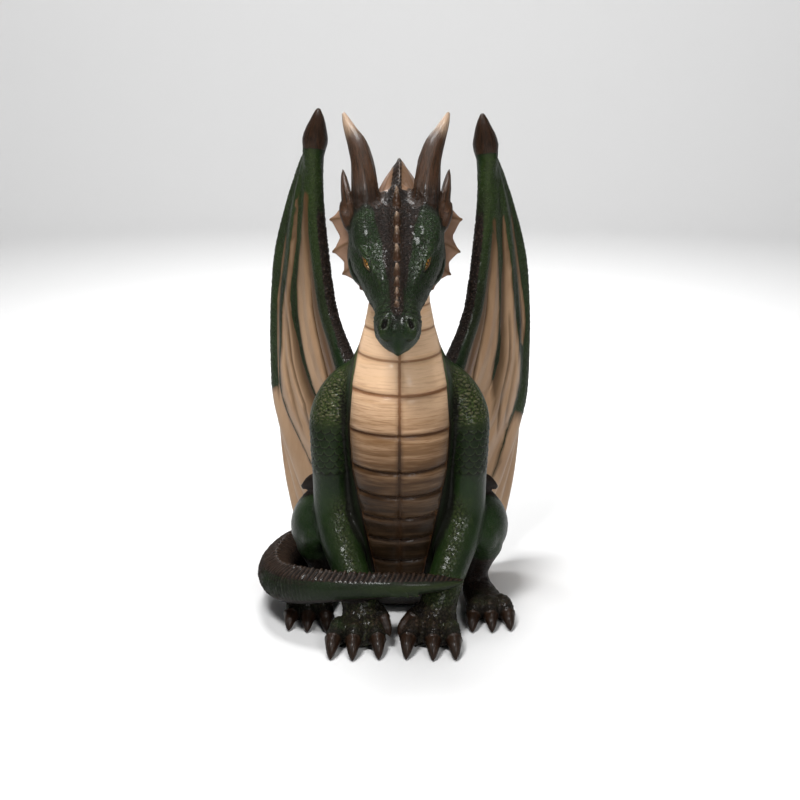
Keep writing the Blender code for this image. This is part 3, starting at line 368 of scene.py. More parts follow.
class Shells:
    """Closed shells gathered for fusing."""

    def __init__(self):
        self.points, self.faces, self.count = [], [], 0

    def add(self, points, faces, mirror=False):
        """One shell, with its mirror image if wanted."""
        points = np.asarray(points, float)
        self.points.append(points)
        self.faces += [[i + self.count for i in face] for face in faces]
        self.count += len(points)
        if mirror:
            self.add(points * (-1.0, 1.0, 1.0), [face[::-1] for face in faces])

    def loft(self, rows, up, rings=24, around=20, mirror=False):
        """A closed form through stations of centre, half width, height above and below."""
        rows = np.asarray(rows, float)
        while rows.shape[1] < 6:
            rows = np.column_stack([rows, rows[:, -1]])
        if rows.shape[1] == 6:
            rows = np.column_stack([rows, np.full(len(rows), 2.0)])
        s = spline(rows, rings)
        along = unit(np.gradient(s[:, :3], axis=0))
        above = unit(np.asarray(up, float) - along * (along @ np.asarray(up, float))[:, None])
        side = np.cross(along, above)
        # which station, its scale, and how far beyond it: the ends are rounded
        plan = [(i, 1.0, 0.0) for i in range(len(s))]
        for phase in map(math.radians, (25, 50, 75)):
            scale, beyond = math.cos(phase), math.sin(phase)
            plan = [(0, scale, -beyond), *plan, (len(s) - 1, scale, beyond)]
        angle = np.arange(around) * 2 * math.pi / around
        cos, sin = np.cos(angle), np.sin(angle)
        points = []
        for i, scale, ahead in plan:
            power = 2.0 / s[i, 6]
            reach = np.where(sin > 0, s[i, 4], s[i, 5])
            across = np.sign(cos) * np.abs(cos) ** power * s[i, 3] * scale
            height = np.sign(sin) * np.abs(sin) ** power * reach * scale
            shift = ahead * min(s[i, 3], (s[i, 4] + s[i, 5]) / 2)
            points.append(s[i, :3] + along[i] * shift + across[:, None] * side[i]
                          + height[:, None] * above[i])
        n = len(plan)
        points = np.concatenate(points + [points[0].mean(0)[None], points[-1].mean(0)[None]])
        ring = [(k, (k + 1) % around) for k in range(around)]
        faces = [[r + a, r + b, r + around + b, r + around + a]
                 for r in range(0, (n - 1) * around, around) for a, b in ring]
        for a, b in ring:
            faces += [[n * around, b, a],
                      [n * around + 1, (n - 1) * around + a, (n - 1) * around + b]]
        self.add(points, faces, mirror)

    def ball(self, centre, axes, mirror=False):
        """An ellipsoid from its three half axes, as rows."""
        bm = bmesh.new()
        bmesh.ops.create_uvsphere(bm, u_segments=20, v_segments=12, radius=1.0)
        points = np.array([v.co[:] for v in bm.verts]) @ np.asarray(axes, float)
        faces = [[v.index for v in f.verts] for f in bm.faces]
        bm.free()
        self.add(points + np.asarray(centre, float), faces, mirror)

    def sheet(self, grid, thickness, mirror=False):
        """A closed slab about a grid of points, rows by columns."""
        grid = np.asarray(grid, float)
        normal = unit(np.cross(np.gradient(grid, axis=0), np.gradient(grid, axis=1)))
        half = np.broadcast_to(np.asarray(thickness, float) / 2, grid.shape[:2])[..., None]
        rows, cols = grid.shape[:2]
        points = np.concatenate([(grid + normal * half).reshape(-1, 3),
                                 (grid - normal * half).reshape(-1, 3)])
        back = rows * cols
        faces = []
        for r in range(rows - 1):
            for c in range(cols - 1):
                a = r * cols + c
                b, d, e = a + 1, a + cols, a + cols + 1
                faces += [[a, d, e, b], [back + a, back + b, back + e, back + d]]
        rim = ([*range(cols)] + [r * cols + cols - 1 for r in range(1, rows)]
               + [(rows - 1) * cols + c for c in range(cols - 2, -1, -1)]
               + [r * cols for r in range(rows - 2, 0, -1)])
        for i, a in enumerate(rim):
            b = rim[(i + 1) % len(rim)]
            faces.append([a, b, back + b, back + a])
        self.add(points, faces, mirror)


SKULL_ALONG = np.array((0.0, -math.cos(HEAD_PITCH), -math.sin(HEAD_PITCH)))
SKULL_ABOVE = np.array((0.0, -math.sin(HEAD_PITCH), math.cos(HEAD_PITCH)))

EYE_ALONG = unit(np.array((-0.40, 0.92, 0.0)))
EYE_OUT = np.array((0.66, 0.12, 0.74))
EYE_OUT = unit(EYE_OUT - EYE_ALONG * (EYE_OUT @ EYE_ALONG))
EYE_ACROSS = np.cross(EYE_ALONG, EYE_OUT)


def lean(along):
    """How far the head is set to one side, by the place along the skull."""
    return HEAD_LEAN * (1 - 0.65 * np.clip(along / 0.36, 0, 1))


def on_head(x, along, above):
    """A place given across, along and above the skull's axis."""
    return np.array(CROWN) + np.array((x, 0, 0)) + SKULL_ALONG * along + SKULL_ABOVE * above


def lean_head(shells, first):
    """Set the head, from its first shell on, slightly to one side."""
    for points in shells.points[first:]:
        points[:, 0] += lean((points - np.array(CROWN)) @ SKULL_ALONG)


def add_body(shells):
    """Torso with the neck, upper limbs and feet."""
    shells.loft(TORSO, FORWARD, rings=90, around=72)
    shells.loft(ARM, FORWARD, rings=50, around=32, mirror=True)
    shells.loft(THIGH, UPWARD, rings=44, around=44, mirror=True)
    shells.loft(SHANK, SHANK_FRONT, rings=24, around=24, mirror=True)
    shells.loft(HIND_FOOT, UPWARD, rings=24, around=24, mirror=True)


def toe_line(tip, heel, reach):
    """Gives places on a toe: share of the way out from the heel, claw lengths back, height."""
    x, y = tip
    return lambda share, back, z: (heel[0] + (x - heel[0]) * share, y + reach * back, z)


def claw_rows(tip, heel, height, claw, reach):
    """A claw from inside its toe to its tip on the ground."""
    place = toe_line(tip, heel, reach)
    return [(*place(0.91, 1.28, height * 0.68), claw * 0.90, claw * 0.95),
            (*place(0.93, 1.0, height * 0.62), claw, claw * 1.05),
            (*place(0.96, 0.58, height * 0.52), claw * 0.88, claw * 0.88),
            (*place(0.99, 0.22, height * 0.24), claw * 0.54, claw * 0.54),
            (*tip, SOLE, claw * 0.16, claw * 0.16)]


def front_heel(side):
    """Where a front paw's toes fan out from."""
    wrist, middle = side * 0.088, FRONT_CLAWS[side][1][0]
    return wrist * 0.8 + (wrist + (middle - wrist) * 0.45) * 0.2, -0.196


def thumb_rows(side):
    """The small inner claw of a front paw."""
    inner = -0.022 if side < 0 else -0.001
    return [(side * 0.048, -0.183, 0.078, 0.014, 0.014),
            (inner * 0.55 + side * 0.024, -0.206, 0.068, 0.013, 0.013),
            (inner + side * 0.005, -0.228, 0.050, 0.0105, 0.0105),
            (inner, -0.241, 0.033, 0.003, 0.003)]


def claw_stations():
    """Every claw's stations, and how far along it the horn begins."""
    for side in (-1, 1):
        for tip in FRONT_CLAWS[side]:
            yield claw_rows(tip, front_heel(side), *FRONT_FOOT), 0.020
        yield thumb_rows(side), 0.030
        for x, y in HIND_CLAWS:
            rows = claw_rows((x, y), REAR_HEEL, *REAR_FOOT)
            yield [(side * r[0], *r[1:]) for r in rows], 0.019


def add_toes(shells, tips, heel, foot, toe, mirror=False):
    """Toes fanned from the foot, flat underneath, to claws that touch the ground."""
    height, _, reach = foot

    def rest(at, size):
        """A station that reaches down to the ground."""
        return (*at, size, size, at[2] + SOLE)

    for tip in tips:
        place = toe_line(tip, heel, reach)
        root = (place(0.35, 0.0, 0.0)[0], heel[1], height * 0.80)
        shells.loft([rest(root, toe), rest(place(0.72, 1.55, height), toe * 1.06),
                     rest(place(0.83, 1.25, height * 0.86), toe * 0.98),
                     rest(place(0.93, 1.0, height * 0.62), toe * 0.88)], UPWARD,
                    rings=20, around=24, mirror=mirror)
        shells.loft(claw_rows(tip, heel, *foot), UPWARD, rings=24, around=20, mirror=mirror)


def add_feet(shells):
    """Paws, hind toes, and the rump that the weight rests on behind."""
    for side in (-1, 1):
        middle, wrist = FRONT_CLAWS[side][1][0], side * 0.088
        palm = wrist + (middle - wrist) * 0.45
        shells.loft([(side * 0.090, -0.175, 0.060, 0.043, 0.040, 0.060 + SOLE),
                     ((wrist + palm) / 2, -0.208, 0.046, 0.047, 0.033, 0.046 + SOLE),
                     (palm, -0.224, 0.034, 0.043, 0.023, 0.034 + SOLE)], UPWARD, rings=24,
                    around=32)
        add_toes(shells, FRONT_CLAWS[side], front_heel(side), FRONT_FOOT, 0.0192)
        shells.loft(thumb_rows(side), UPWARD, rings=20, around=16)
    add_toes(shells, HIND_CLAWS, REAR_HEEL, REAR_FOOT, 0.0196, mirror=True)
    for x in (-0.075, 0.075):
        shells.ball((x, 0.165, 0.075), np.diag((0.110, 0.120, 0.085)))


def keel_rows(s, length):
    """One keel spike, curved back over the next."""
    base = 0.012 + 0.012 * math.sin(math.pi * min(max((s + 0.02) / 0.30, 0), 1))
    width = 0.0045 + 0.055 * length
    return [(*on_head(0, s + length * 0.48, base), width * 0.7, 0.004),
            (*on_head(0, s + length * 0.15, base + 0.004), width, 0.008),
            (*on_head(0, s - length * 0.20, base + 0.010), width * 0.75, 0.008),
            (*on_head(0, s - length * 0.50, base + 0.008 + length * 0.30), 0.002, 0.002)]


def keel_stations():
    """Every keel spike's stations."""
    return [keel_rows(s, length) for s, length in HEAD_KEEL]


def add_head(shells):
    """Skull, brows, keel, horns and cheek frills."""
    first = len(shells.points)
    shells.loft([(*on_head(0, s, n), w, a, b, p) for s, n, w, a, b, p in SKULL],
                SKULL_ABOVE, rings=44, around=36)
    axes = np.array([(1, 0, 0), SKULL_ALONG, SKULL_ABOVE])

    def lump(x, s, n, sizes, mirror=True):
        """A swelling at a place on the skull."""
        shells.ball(on_head(x, s, n), axes * np.array(sizes)[:, None], mirror)

    lump(0.062, 0.072, -0.004, (0.037, 0.072, 0.030))       # brow domes
    lump(0.080, 0.100, -0.070, (0.030, 0.070, 0.050))       # jaw muscles
    lump(0.027, 0.306, 0.012, (0.0195, 0.030, 0.0165))      # nostril swellings
    lump(0.055, 0.156, -0.003, (0.0150, 0.022, 0.0150))     # eyeballs
    shells.loft([(*on_head(0.086, 0.092, -0.002), 0.010), (*on_head(0.070, 0.127, 0.010), 0.0105),
                 (*on_head(0.052, 0.165, 0.014), 0.0090), (*on_head(0.036, 0.205, 0.011), 0.006)],
                SKULL_ABOVE, rings=16, around=10, mirror=True)          # brow ridges
    shells.loft([(*on_head(0.085, 0.122, -0.020), 0.008), (*on_head(0.075, 0.158, -0.022), 0.009),
                 (*on_head(0.056, 0.200, -0.020), 0.007)],
                SKULL_ABOVE, rings=12, around=10, mirror=True)          # folds under the eyes
    # the brow's middle ridge that carries the keel spikes
    shells.loft([(*on_head(0, s, n), 0.013, 0.010, 0.012) for s, n in
                 ((-0.03, 0.000), (0.03, 0.014), (0.10, 0.022), (0.16, 0.024), (0.21, 0.022),
                  (0.26, 0.020), (0.285, 0.016))], SKULL_ABOVE, rings=24, around=12)
    for rows in keel_stations():
        shells.loft(rows, SKULL_ABOVE, rings=14, around=12)
    # horns and the leaf-shaped spikes at their outer sides
    shells.loft(HORN, FORWARD, rings=34, around=22, mirror=True)
    shells.loft(EAR_SPIKE, SPIKE_FRONT, rings=16, around=12, mirror=True)
    shells.loft(LOW_SPIKE, SPIKE_FRONT, rings=10, around=12, mirror=True)
    root, rim = spline(FRILL_ROOT, 33), np.asarray(FRILL_RIM)
    turns = np.linspace(0, 1, len(rim))
    edge = np.stack([np.interp(np.linspace(0, 1, 33), turns, rim[:, c]) for c in range(3)], 1)
    reach = np.linspace(0, 1, 8)[:, None, None]
    grid = root[None] * (1 - reach) + edge[None] * reach
    grid[:, :, 1] += 0.010 * np.sin(np.linspace(0, 1, 8) * math.pi)[:, None]
    taper = FRILL_THICKNESS * (1.25 - 0.45 * reach[:, :, 0]) * np.ones((1, 33))
    shells.sheet(grid, taper, mirror=True)
    for k in FRILL_RIBS:
        start = root[int(32 * k / 8)]
        shells.loft([(*start, 0.0075), (*((start + rim[k]) / 2 + (0, 0.006, 0)), 0.0065),
                     (*rim[k], 0.0040)], FORWARD, rings=8, around=8, mirror=True)
    lean_head(shells, first)


def add_crest(shells):
    """The folded crest behind the crown, and the scutes down the back."""
    # centre, half width and height of the tent-shaped section, from the crown back
    shells.loft([(0, -0.122, 1.000, 0.012, 0.032, 0.03, 1.1),
                 (0, -0.080, 1.006, 0.034, 0.051, 0.06, 1.0),
                 (0, -0.035, 1.012, 0.050, 0.070, 0.08, 1.0),
                 (0, 0.002, 1.018, 0.056, NAPE_CREST_TOP - 1.016, 0.08, 1.0),
                 (0, 0.022, 1.004, 0.052, 0.062, 0.06, 1.0),
                 (0, 0.044, 0.970, 0.042, 0.038, 0.03, 1.1),
                 (0, 0.058, 0.920, 0.026, 0.030, 0.02, 1.3)], (0, 0.25, 1), rings=40, around=40)
    line = spline([(0, 0.050, 1.010, 0.0), (0, 0.078, 0.900, 0.0), (0, 0.078, 0.800, 0.0),
                   (0, 0.082, 0.700, 0.0), (0, 0.118, 0.600, 0.0), (0, 0.150, 0.480, 0.0),
                   (0, 0.190, 0.360, 0.0), (0, 0.222, 0.250, 0.0), (0, 0.232, 0.160, 0.0)],
                  BACK_SCUTES + 1)[:, :3]
    for k in range(BACK_SCUTES):
        a, b = line[k], line[k + 1]
        along = unit(b - a)
        out = unit(np.cross((1.0, 0, 0), along))
        out = out if out[1] > 0 else -out
        high = 0.028 + 0.008 * math.sin(math.pi * k / BACK_SCUTES)
        shells.loft([(*(a - out * 0.012), 0.010, 0.016),
                     (*(a + out * high * 0.35 + along * 0.006), 0.009, 0.015),
                     (*(a + out * high * 0.75 + along * 0.016), 0.006, 0.009),
                     (*(a + out * high + along * 0.026), 0.002, 0.003)], along, rings=8,
                    around=10)
    shells.loft([(*(p - (0, 0.006, 0)), 0.014, 0.012) for p in line], (0, 1, 0), rings=30,
                around=10)


def add_tail(shells):
    """The tail, the scutes on its top and the barbs at its end."""
    shells.loft(TAIL, UPWARD, rings=70, around=22)
    path = spline(TAIL, TAIL_SCUTES + 12)[10:-1]
    for k, (here, ahead) in enumerate(zip(path[:-1], path[1:])):
        along = unit(ahead[:3] - here[:3])
        size = 0.55 + 0.45 * math.sin(math.pi * (k + 4) / (len(path) + 4))
        high = TAIL_SCUTE_HEIGHT * size + 0.002
        crown = here[:3] + np.array((0, 0, here[4] * 0.94))
        shells.loft([(*(crown - along * 0.010 + (0, 0, -0.004)), 0.0075 * size, 0.006),
                     (*(crown + (0, 0, high * 0.45)), 0.0085 * size, 0.006),
                     (*(crown + along * 0.006 + (0, 0, high)), 0.0055, 0.004)],
                    UPWARD, rings=6, around=8)
    # the flattened blade at the tail's end, with three barbs low on its front edge
    for x, y in TAIL_BARBS:
        shells.loft([(x - 0.022, y + 0.014, 0.140, 0.010, 0.007),
                     (x - 0.006, y, 0.136, 0.008, 0.006),
                     (x + 0.010, y - 0.008, 0.132, 0.003, 0.003)], UPWARD, rings=8, around=8)


def panel(first, second, billow, ahead, creases, rows, cols):
    """A membrane between two bones, swelling forward, with creases running down it."""
    a, b = spline(first, rows)[:, :3], spline(second, rows)[:, :3]
    across = np.linspace(0, 1, cols)[None, :, None]
    grid = a[:, None] * (1 - across) + b[:, None] * across
    down = np.linspace(0, 1, rows)[:, None]
    normal = unit(np.cross(np.gradient(grid, axis=0), np.gradient(grid, axis=1)))
    normal *= -np.sign(normal[..., 1:2])
    span = np.linalg.norm(b - a, axis=1)[:, None]
    u = across[..., 0]
    swell = billow * np.sin(math.pi * u) ** 0.7 * np.minimum(span / 0.055, 1.0)
    for place, drift, width, depth, start in creases:
        at = place + drift * down
        fade = np.clip((down - start) / 0.18, 0, 1) * np.clip((1 - down) / 0.1, 0, 1)
        swell = swell - depth * fade * np.exp(-((u - at) / width) ** 2)
    push = unit(normal * (1 - ahead) + np.array((0.0, -ahead, 0.0)))
    return grid + push * swell[..., None]


def wing_sheets(rows, cols):
    """The wing's four skins between its bones, as grids of points."""
    first, second, third = WING_FINGERS
    low = [p for p in third if p[2] < 0.68]
    creases = [
        [(0.38, 0.10, 0.09, 0.014, 0.26), (0.74, -0.04, 0.08, 0.012, 0.38)],
        [(0.62, -0.10, 0.09, 0.013, 0.30)],
        [(0.45, 0.16, 0.09, 0.013, 0.34)],
        [],
    ]
    sides = [(WING_ARM, first), (first, second), (second, third), (low, WING_TRAILING_EDGE)]
    return [panel(a, b, billow, ahead, folds, rows, cols)
            for (a, b), billow, ahead, folds in zip(sides, BILLOWS, BILLOWS_AHEAD, creases)]


def add_wings(shells):
    """The wings' arms, claws, fingers and skins, one wing a little lower."""
    begun = len(shells.points)
    shells.loft(WING_ARM, FORWARD, rings=50, around=18, mirror=True)
    shells.loft(WING_CLAW, FORWARD, rings=20, around=18, mirror=True)
    for bone in WING_FINGERS:
        shells.loft(np.column_stack([spline(bone, 50), np.linspace(*FINGER_SIZE, 50)]), FORWARD,
                    rings=60, around=12, mirror=True)
    for grid in wing_sheets(180, 44):
        shells.sheet(grid, MEMBRANE_THICKNESS, mirror=True)
    shells.loft([(*p, 0.0062) for p in WING_TRAILING_EDGE], FORWARD, rings=40, around=10,
                mirror=True)
    for points in shells.points[begun:]:
        if points[:, 0].mean() > 0:
            points[:, 2] -= WING_DROP * np.clip((points[:, 2] - 0.55) / 0.60, 0, 1)
            points[:, 0] += 0.004 * np.clip((points[:, 2] - 0.35) / 0.40, 0, 1)


def add_elbow_fins(shells):
    """Two dark lobes standing out behind each elbow."""
    for rows in ELBOW_FINS:
        shells.loft(rows, UPWARD, rings=14, around=14, mirror=True)


def fuse(shells, step):
    """One skin round all the shells."""
    mesh = bpy.data.meshes.new("fusing")
    mesh.from_pydata([tuple(p) for p in np.concatenate(shells.points)], [], shells.faces)
    mesh.validate()
    holder = bpy.data.objects.new("fusing", mesh)
    bpy.context.scene.collection.objects.link(holder)
    skin = holder.modifiers.new("skin", "REMESH")
    skin.mode = "VOXEL"
    skin.voxel_size = step
    skin.adaptivity = 0.0
    graph = bpy.context.evaluated_depsgraph_get()
    fused = bpy.data.meshes.new_from_object(holder.evaluated_get(graph))
    bpy.data.objects.remove(holder)
    bpy.data.meshes.remove(mesh)
    bm = bmesh.new()
    bm.from_mesh(fused)
    keep_largest(bm)
    bm.to_mesh(fused)
    bm.free()
    return fused


def keep_largest(bm):
    """Leave only the biggest body: loose crumbs and inner bubbles go."""
    seen, best = set(), []
    for start in bm.verts:
        if start in seen:
            continue
        group, front = [start], [start]
        seen.add(start)
        while front:
            vert = front.pop()
            for edge in vert.link_edges:
                other = edge.other_vert(vert)
                if other not in seen:
                    seen.add(other)
                    group.append(other)
                    front.append(other)
        if len(group) > len(best):
            best = group
    kept = set(best)
    bmesh.ops.delete(bm, geom=[v for v in bm.verts if v not in kept], context="VERTS")


class Skin:
    """Points, edges and normals of a mesh as arrays, for smoothing, carving and marking."""

    def __init__(self, mesh, step):
        self.mesh, self.step = mesh, step
        n = len(mesh.vertices)
        self.at = np.empty(n * 3)
        mesh.vertices.foreach_get("co", self.at)
        self.at = self.at.reshape(-1, 3)
        self.edges = np.empty(len(mesh.edges) * 2, np.int32)
        mesh.edges.foreach_get("vertices", self.edges)
        self.edges = self.edges.reshape(-1, 2)
        self.links = np.bincount(self.edges.ravel(), minlength=n)

    def put(self):
        """The points onto the mesh."""
        self.mesh.vertices.foreach_set("co", self.at.ravel())
        self.mesh.update()

    def normals(self):
        """The normal at each point as it stands now."""
        self.put()
        out = np.empty(len(self.at) * 3)
        self.mesh.vertex_normals.foreach_get("vector", out)
        return out.reshape(-1, 3)

    def mean(self, values):
        """The mean of each point's neighbours."""
        a, b = self.edges.T
        total = (np.bincount(a, values[b], len(values)) + np.bincount(b, values[a], len(values)))
        return total / self.links

    def pull(self):
        """From each point to the mean of its neighbours."""
        return np.stack([self.mean(self.at[:, c]) for c in range(3)], axis=1) - self.at

    def fill_joins(self, passes):
        """Raise the bottoms of the creases and leave the ridges as they are."""
        sharp = 0.10 * CAST_STEP * (self.step / CAST_STEP) ** 2
        for k in range(passes):
            if k % 8 == 0:
                normal = self.normals()
            pull = self.pull()
            hollow = np.clip(np.einsum("ij,ij->i", pull, normal) / sharp, 0, 1)
            self.at += pull * (0.10 + 0.62 * hollow)[:, None] * 0.8

    def even_out(self, passes):
        """Take the grain off without shrinking."""
        for _ in range(passes):
            self.at += self.pull() * 0.5
            self.at -= self.pull() * 0.52

    def hollows(self, passes, depth):
        """How far each point lies below (1) or above (-1) the surface round it."""
        normal, start = self.normals(), self.at.copy()
        for _ in range(passes):
            self.at += self.pull() * 0.6
        moved = np.einsum("ij,ij->i", self.at - start, normal)
        self.at = start
        return np.clip(moved / depth, -1, 1)


def soft(value, low, high):
    """0 up to low, 1 from high and smooth between; low may be the greater of the two."""
    t = np.clip((value - low) / (high - low), 0.0, 1.0)
    return t * t * (3.0 - 2.0 * t)


def ridge(value, width):
    """1 at nought, falling to nothing on both sides."""
    return np.exp(-(value / width) ** 2)


def cells(at, size):
    """Random cells through space: distance to a cell's middle, and to its edge, in cell sizes."""
    p = at / np.asarray(size, float)
    base = np.floor(p).astype(np.int64)
    first, second = np.full(len(p), 9.0), np.full(len(p), 9.0)
    for i in (-1, 0, 1):
        for j in (-1, 0, 1):
            for k in (-1, 0, 1):
                c = base + (i, j, k)
                h = (c[:, 0] * 73856093) ^ (c[:, 1] * 19349663) ^ (c[:, 2] * 83492791)
                gap = np.zeros(len(p))
                for axis, salt in enumerate((0x9E3779B1, 0x85EBCA6B, 0xC2B2AE35)):
                    r = (h * salt) & 0xFFFFFFFF
                    r = ((r ^ (r >> 15)) * 0x2C1B3C6D) & 0xFFFFFFFF
                    gap += (c[:, axis] + (r >> 8) / 16777216.0 - p[:, axis]) ** 2
                gap = np.sqrt(gap)
                second = np.minimum(second, np.maximum(first, gap))
                first = np.minimum(first, gap)
    return first, second - first


class Place:
    """Where points lie along and around a limb."""

    def __init__(self, at, rows, up, count=36, reach=0.05, mirror=False):
        if mirror:
            at = at * (-1.0, 1.0, 1.0)
        s = spline(rows, count)
        spare = s[:, 3:5].max() + reach
        box = ((at > s[:, :3].min(0) - spare) & (at < s[:, :3].max(0) + spare)).all(1)
        self.here = np.flatnonzero(box)
        p = at[self.here]
        best, where = np.full(len(p), 1e9), np.zeros(len(p))
        for k in range(count - 1):
            step = s[k + 1, :3] - s[k, :3]
            t = np.clip((p - s[k, :3]) @ step / (step @ step), 0, 1)
            gap = p - s[k, :3] - t[:, None] * step
            far = np.einsum("ij,ij->i", gap, gap)
            nearer = far < best
            best[nearer], where[nearer] = far[nearer], k + t[nearer]
        k = np.minimum(where.astype(int), count - 2)
        t = (where - k)[:, None]
        row = s[k] * (1 - t) + s[k + 1] * t
        slope = unit(np.gradient(s[:, :3], axis=0))
        along = unit(slope[k] * (1 - t) + slope[k + 1] * t)
        above = unit(np.asarray(up, float) - along * (along @ np.asarray(up, float))[:, None])
        side = np.cross(along, above)
        gap = p - row[:, :3]
        high, across = (gap * above).sum(1), (gap * side).sum(1)
        lengths = np.concatenate([[0], np.cumsum(np.linalg.norm(np.diff(s[:, :3], axis=0),
                                                                axis=1))])
        self.length = lengths[-1]
        self.run = np.interp(where, np.arange(count), lengths)      # metres along
        self.turn = np.arctan2(across, high)                        # 0 on top
        self.ratio = np.hypot(across / row[:, 3], high / row[:, min(4, s.shape[1] - 1)])
        self.radius = row[:, 3]

    def spread(self, values, size, empty):
        """Values given for the points here, on all the points."""
        out = np.full(size, float(empty))
        out[self.here] = values
        return out


def torso_front(z):
    """The torso's middle line, half width and front depth at a height."""
    rows = spline(TORSO, 200)
    rows = rows[np.argsort(rows[:, 2])]
    return [np.interp(z, rows[:, 2], rows[:, c]) for c in (1, 3, 4)]


def undrop(at):
    """Points of the lower set wing, put back to where the other wing's mirror image stands."""
    at = at.copy()
    at[:, 2] += WING_DROP * np.clip((at[:, 2] - 0.544) / 0.60, 0, 1)
    at[:, 0] -= 0.004 * np.clip((at[:, 2] - 0.35) / 0.40, 0, 1)
    return at


def simplify(mesh, relief, triangles):
    """Fewer faces where the form is plain, with what was marked kept on the points."""
    statue = bpy.data.objects.new("dragon_skin", mesh)
    bpy.context.scene.collection.objects.link(statue)
    for name, values in relief.mark.items():
        mesh.attributes.new(name, "FLOAT", "POINT").data.foreach_set(
            "value", values.astype(np.float32))
    mesh.attributes.new("grain", "FLOAT_VECTOR", "POINT").data.foreach_set(
        "vector", relief.grain.astype(np.float32).ravel())
    plain = statue.vertex_groups.new(name="plain")
    level = np.round((1 - np.clip(relief.detail, 0, 1)) * 10).astype(int)
    for k in range(1, 11):
        plain.add(np.flatnonzero(level == k).tolist(), k / 10, "REPLACE")
    fewer = statue.modifiers.new("fewer", "DECIMATE")
    fewer.decimate_type = "COLLAPSE"
    fewer.use_collapse_triangulate = True
    fewer.vertex_group = "plain"
    fewer.vertex_group_factor = DETAIL_HOLD
    fewer.ratio = triangles / (2.0 * len(mesh.polygons))
    graph = bpy.context.evaluated_depsgraph_get()
    done = bpy.data.meshes.new_from_object(statue.evaluated_get(graph))
    statue.modifiers.clear()
    statue.vertex_groups.clear()
    statue.data = done
    done.name = "dragon_skin"
    bpy.data.meshes.remove(mesh)
    for vert in done.vertices:
        if vert.co.z < UNDERSIDE_SNAP:
            vert.co.z = 0.0
    done.polygons.foreach_set("use_smooth", [True] * len(done.polygons))
    return statue


def mirrored(at, rows, up, **more):
    """A limb and its mirror image."""
    return [Place(at, rows, up, **more), Place(at, rows, up, mirror=True, **more)]


def off_line(p, start, end):
    """From the nearest place on a line to each point."""
    step = end - start
    t = np.clip((p - start) @ step / (step @ step), 0, 1)
    return p - start - t[:, None] * step


def from_wing(p):
    """How far points are from a wing's skins, and how far in front of them."""
    points, faces, fronts = [], [], []
    for grid in wing_sheets(60, 16):
        rows, cols = grid.shape[:2]
        base = len(points)
        points.extend(tuple(q) for q in grid.reshape(-1, 3))
        faces.extend((i, i + cols, i + cols + 1, i + 1) for r in range(rows - 1)
                     for i in range(base + r * cols, base + (r + 1) * cols - 1))
        facing = np.cross(grid[1:, :-1] - grid[:-1, :-1], grid[:-1, 1:] - grid[:-1, :-1])
        fronts += [-1 if facing[..., 1].mean() > 0 else 1] * ((rows - 1) * (cols - 1))
    tree = BVHTree.FromPolygons(points, faces)
    near, ahead = np.full(len(p), 9.0), np.zeros(len(p))
    for k, q in enumerate(p):
        spot, normal, index, gap = tree.find_nearest(Vector(q), 0.035)
        if index is not None:
            near[k], ahead[k] = gap, fronts[index] * normal.dot(Vector(q) - spot)
    return near, ahead


def overlapping_scales(around, down_limb):
    """Rows of scales, each set half a scale aside: rise, the painted shadow below a rim, and the
    pale rim, a painted highlight.
    """
    rise, rim, pale = (np.zeros(len(around)) for _ in range(3))
    done = np.zeros(len(around), bool)
    row = np.floor(down_limb / ARM_SCALE_HIGH)
    for back in (2, 1, 0):
        r = row - back
        aside = (around / ARM_SCALE_WIDE + 0.5 * (r % 2) + 0.5) % 1.0 - 0.5
        down = down_limb / ARM_SCALE_HIGH - r
        past = (aside / 0.56) ** 2 + np.maximum(0, (down - 0.75) / 1.05) ** 2
        new = (past < 1) & ~done
        rise[new] = (0.35 + 0.65 * down / 1.8)[new]
        rim = np.maximum(rim, ridge(past - 1.12, 0.22) * ~done * (past >= 1))
        pale = np.maximum(pale, ridge(past - 0.84, 0.10) * new)
        done |= new
    return rise, rim, pale


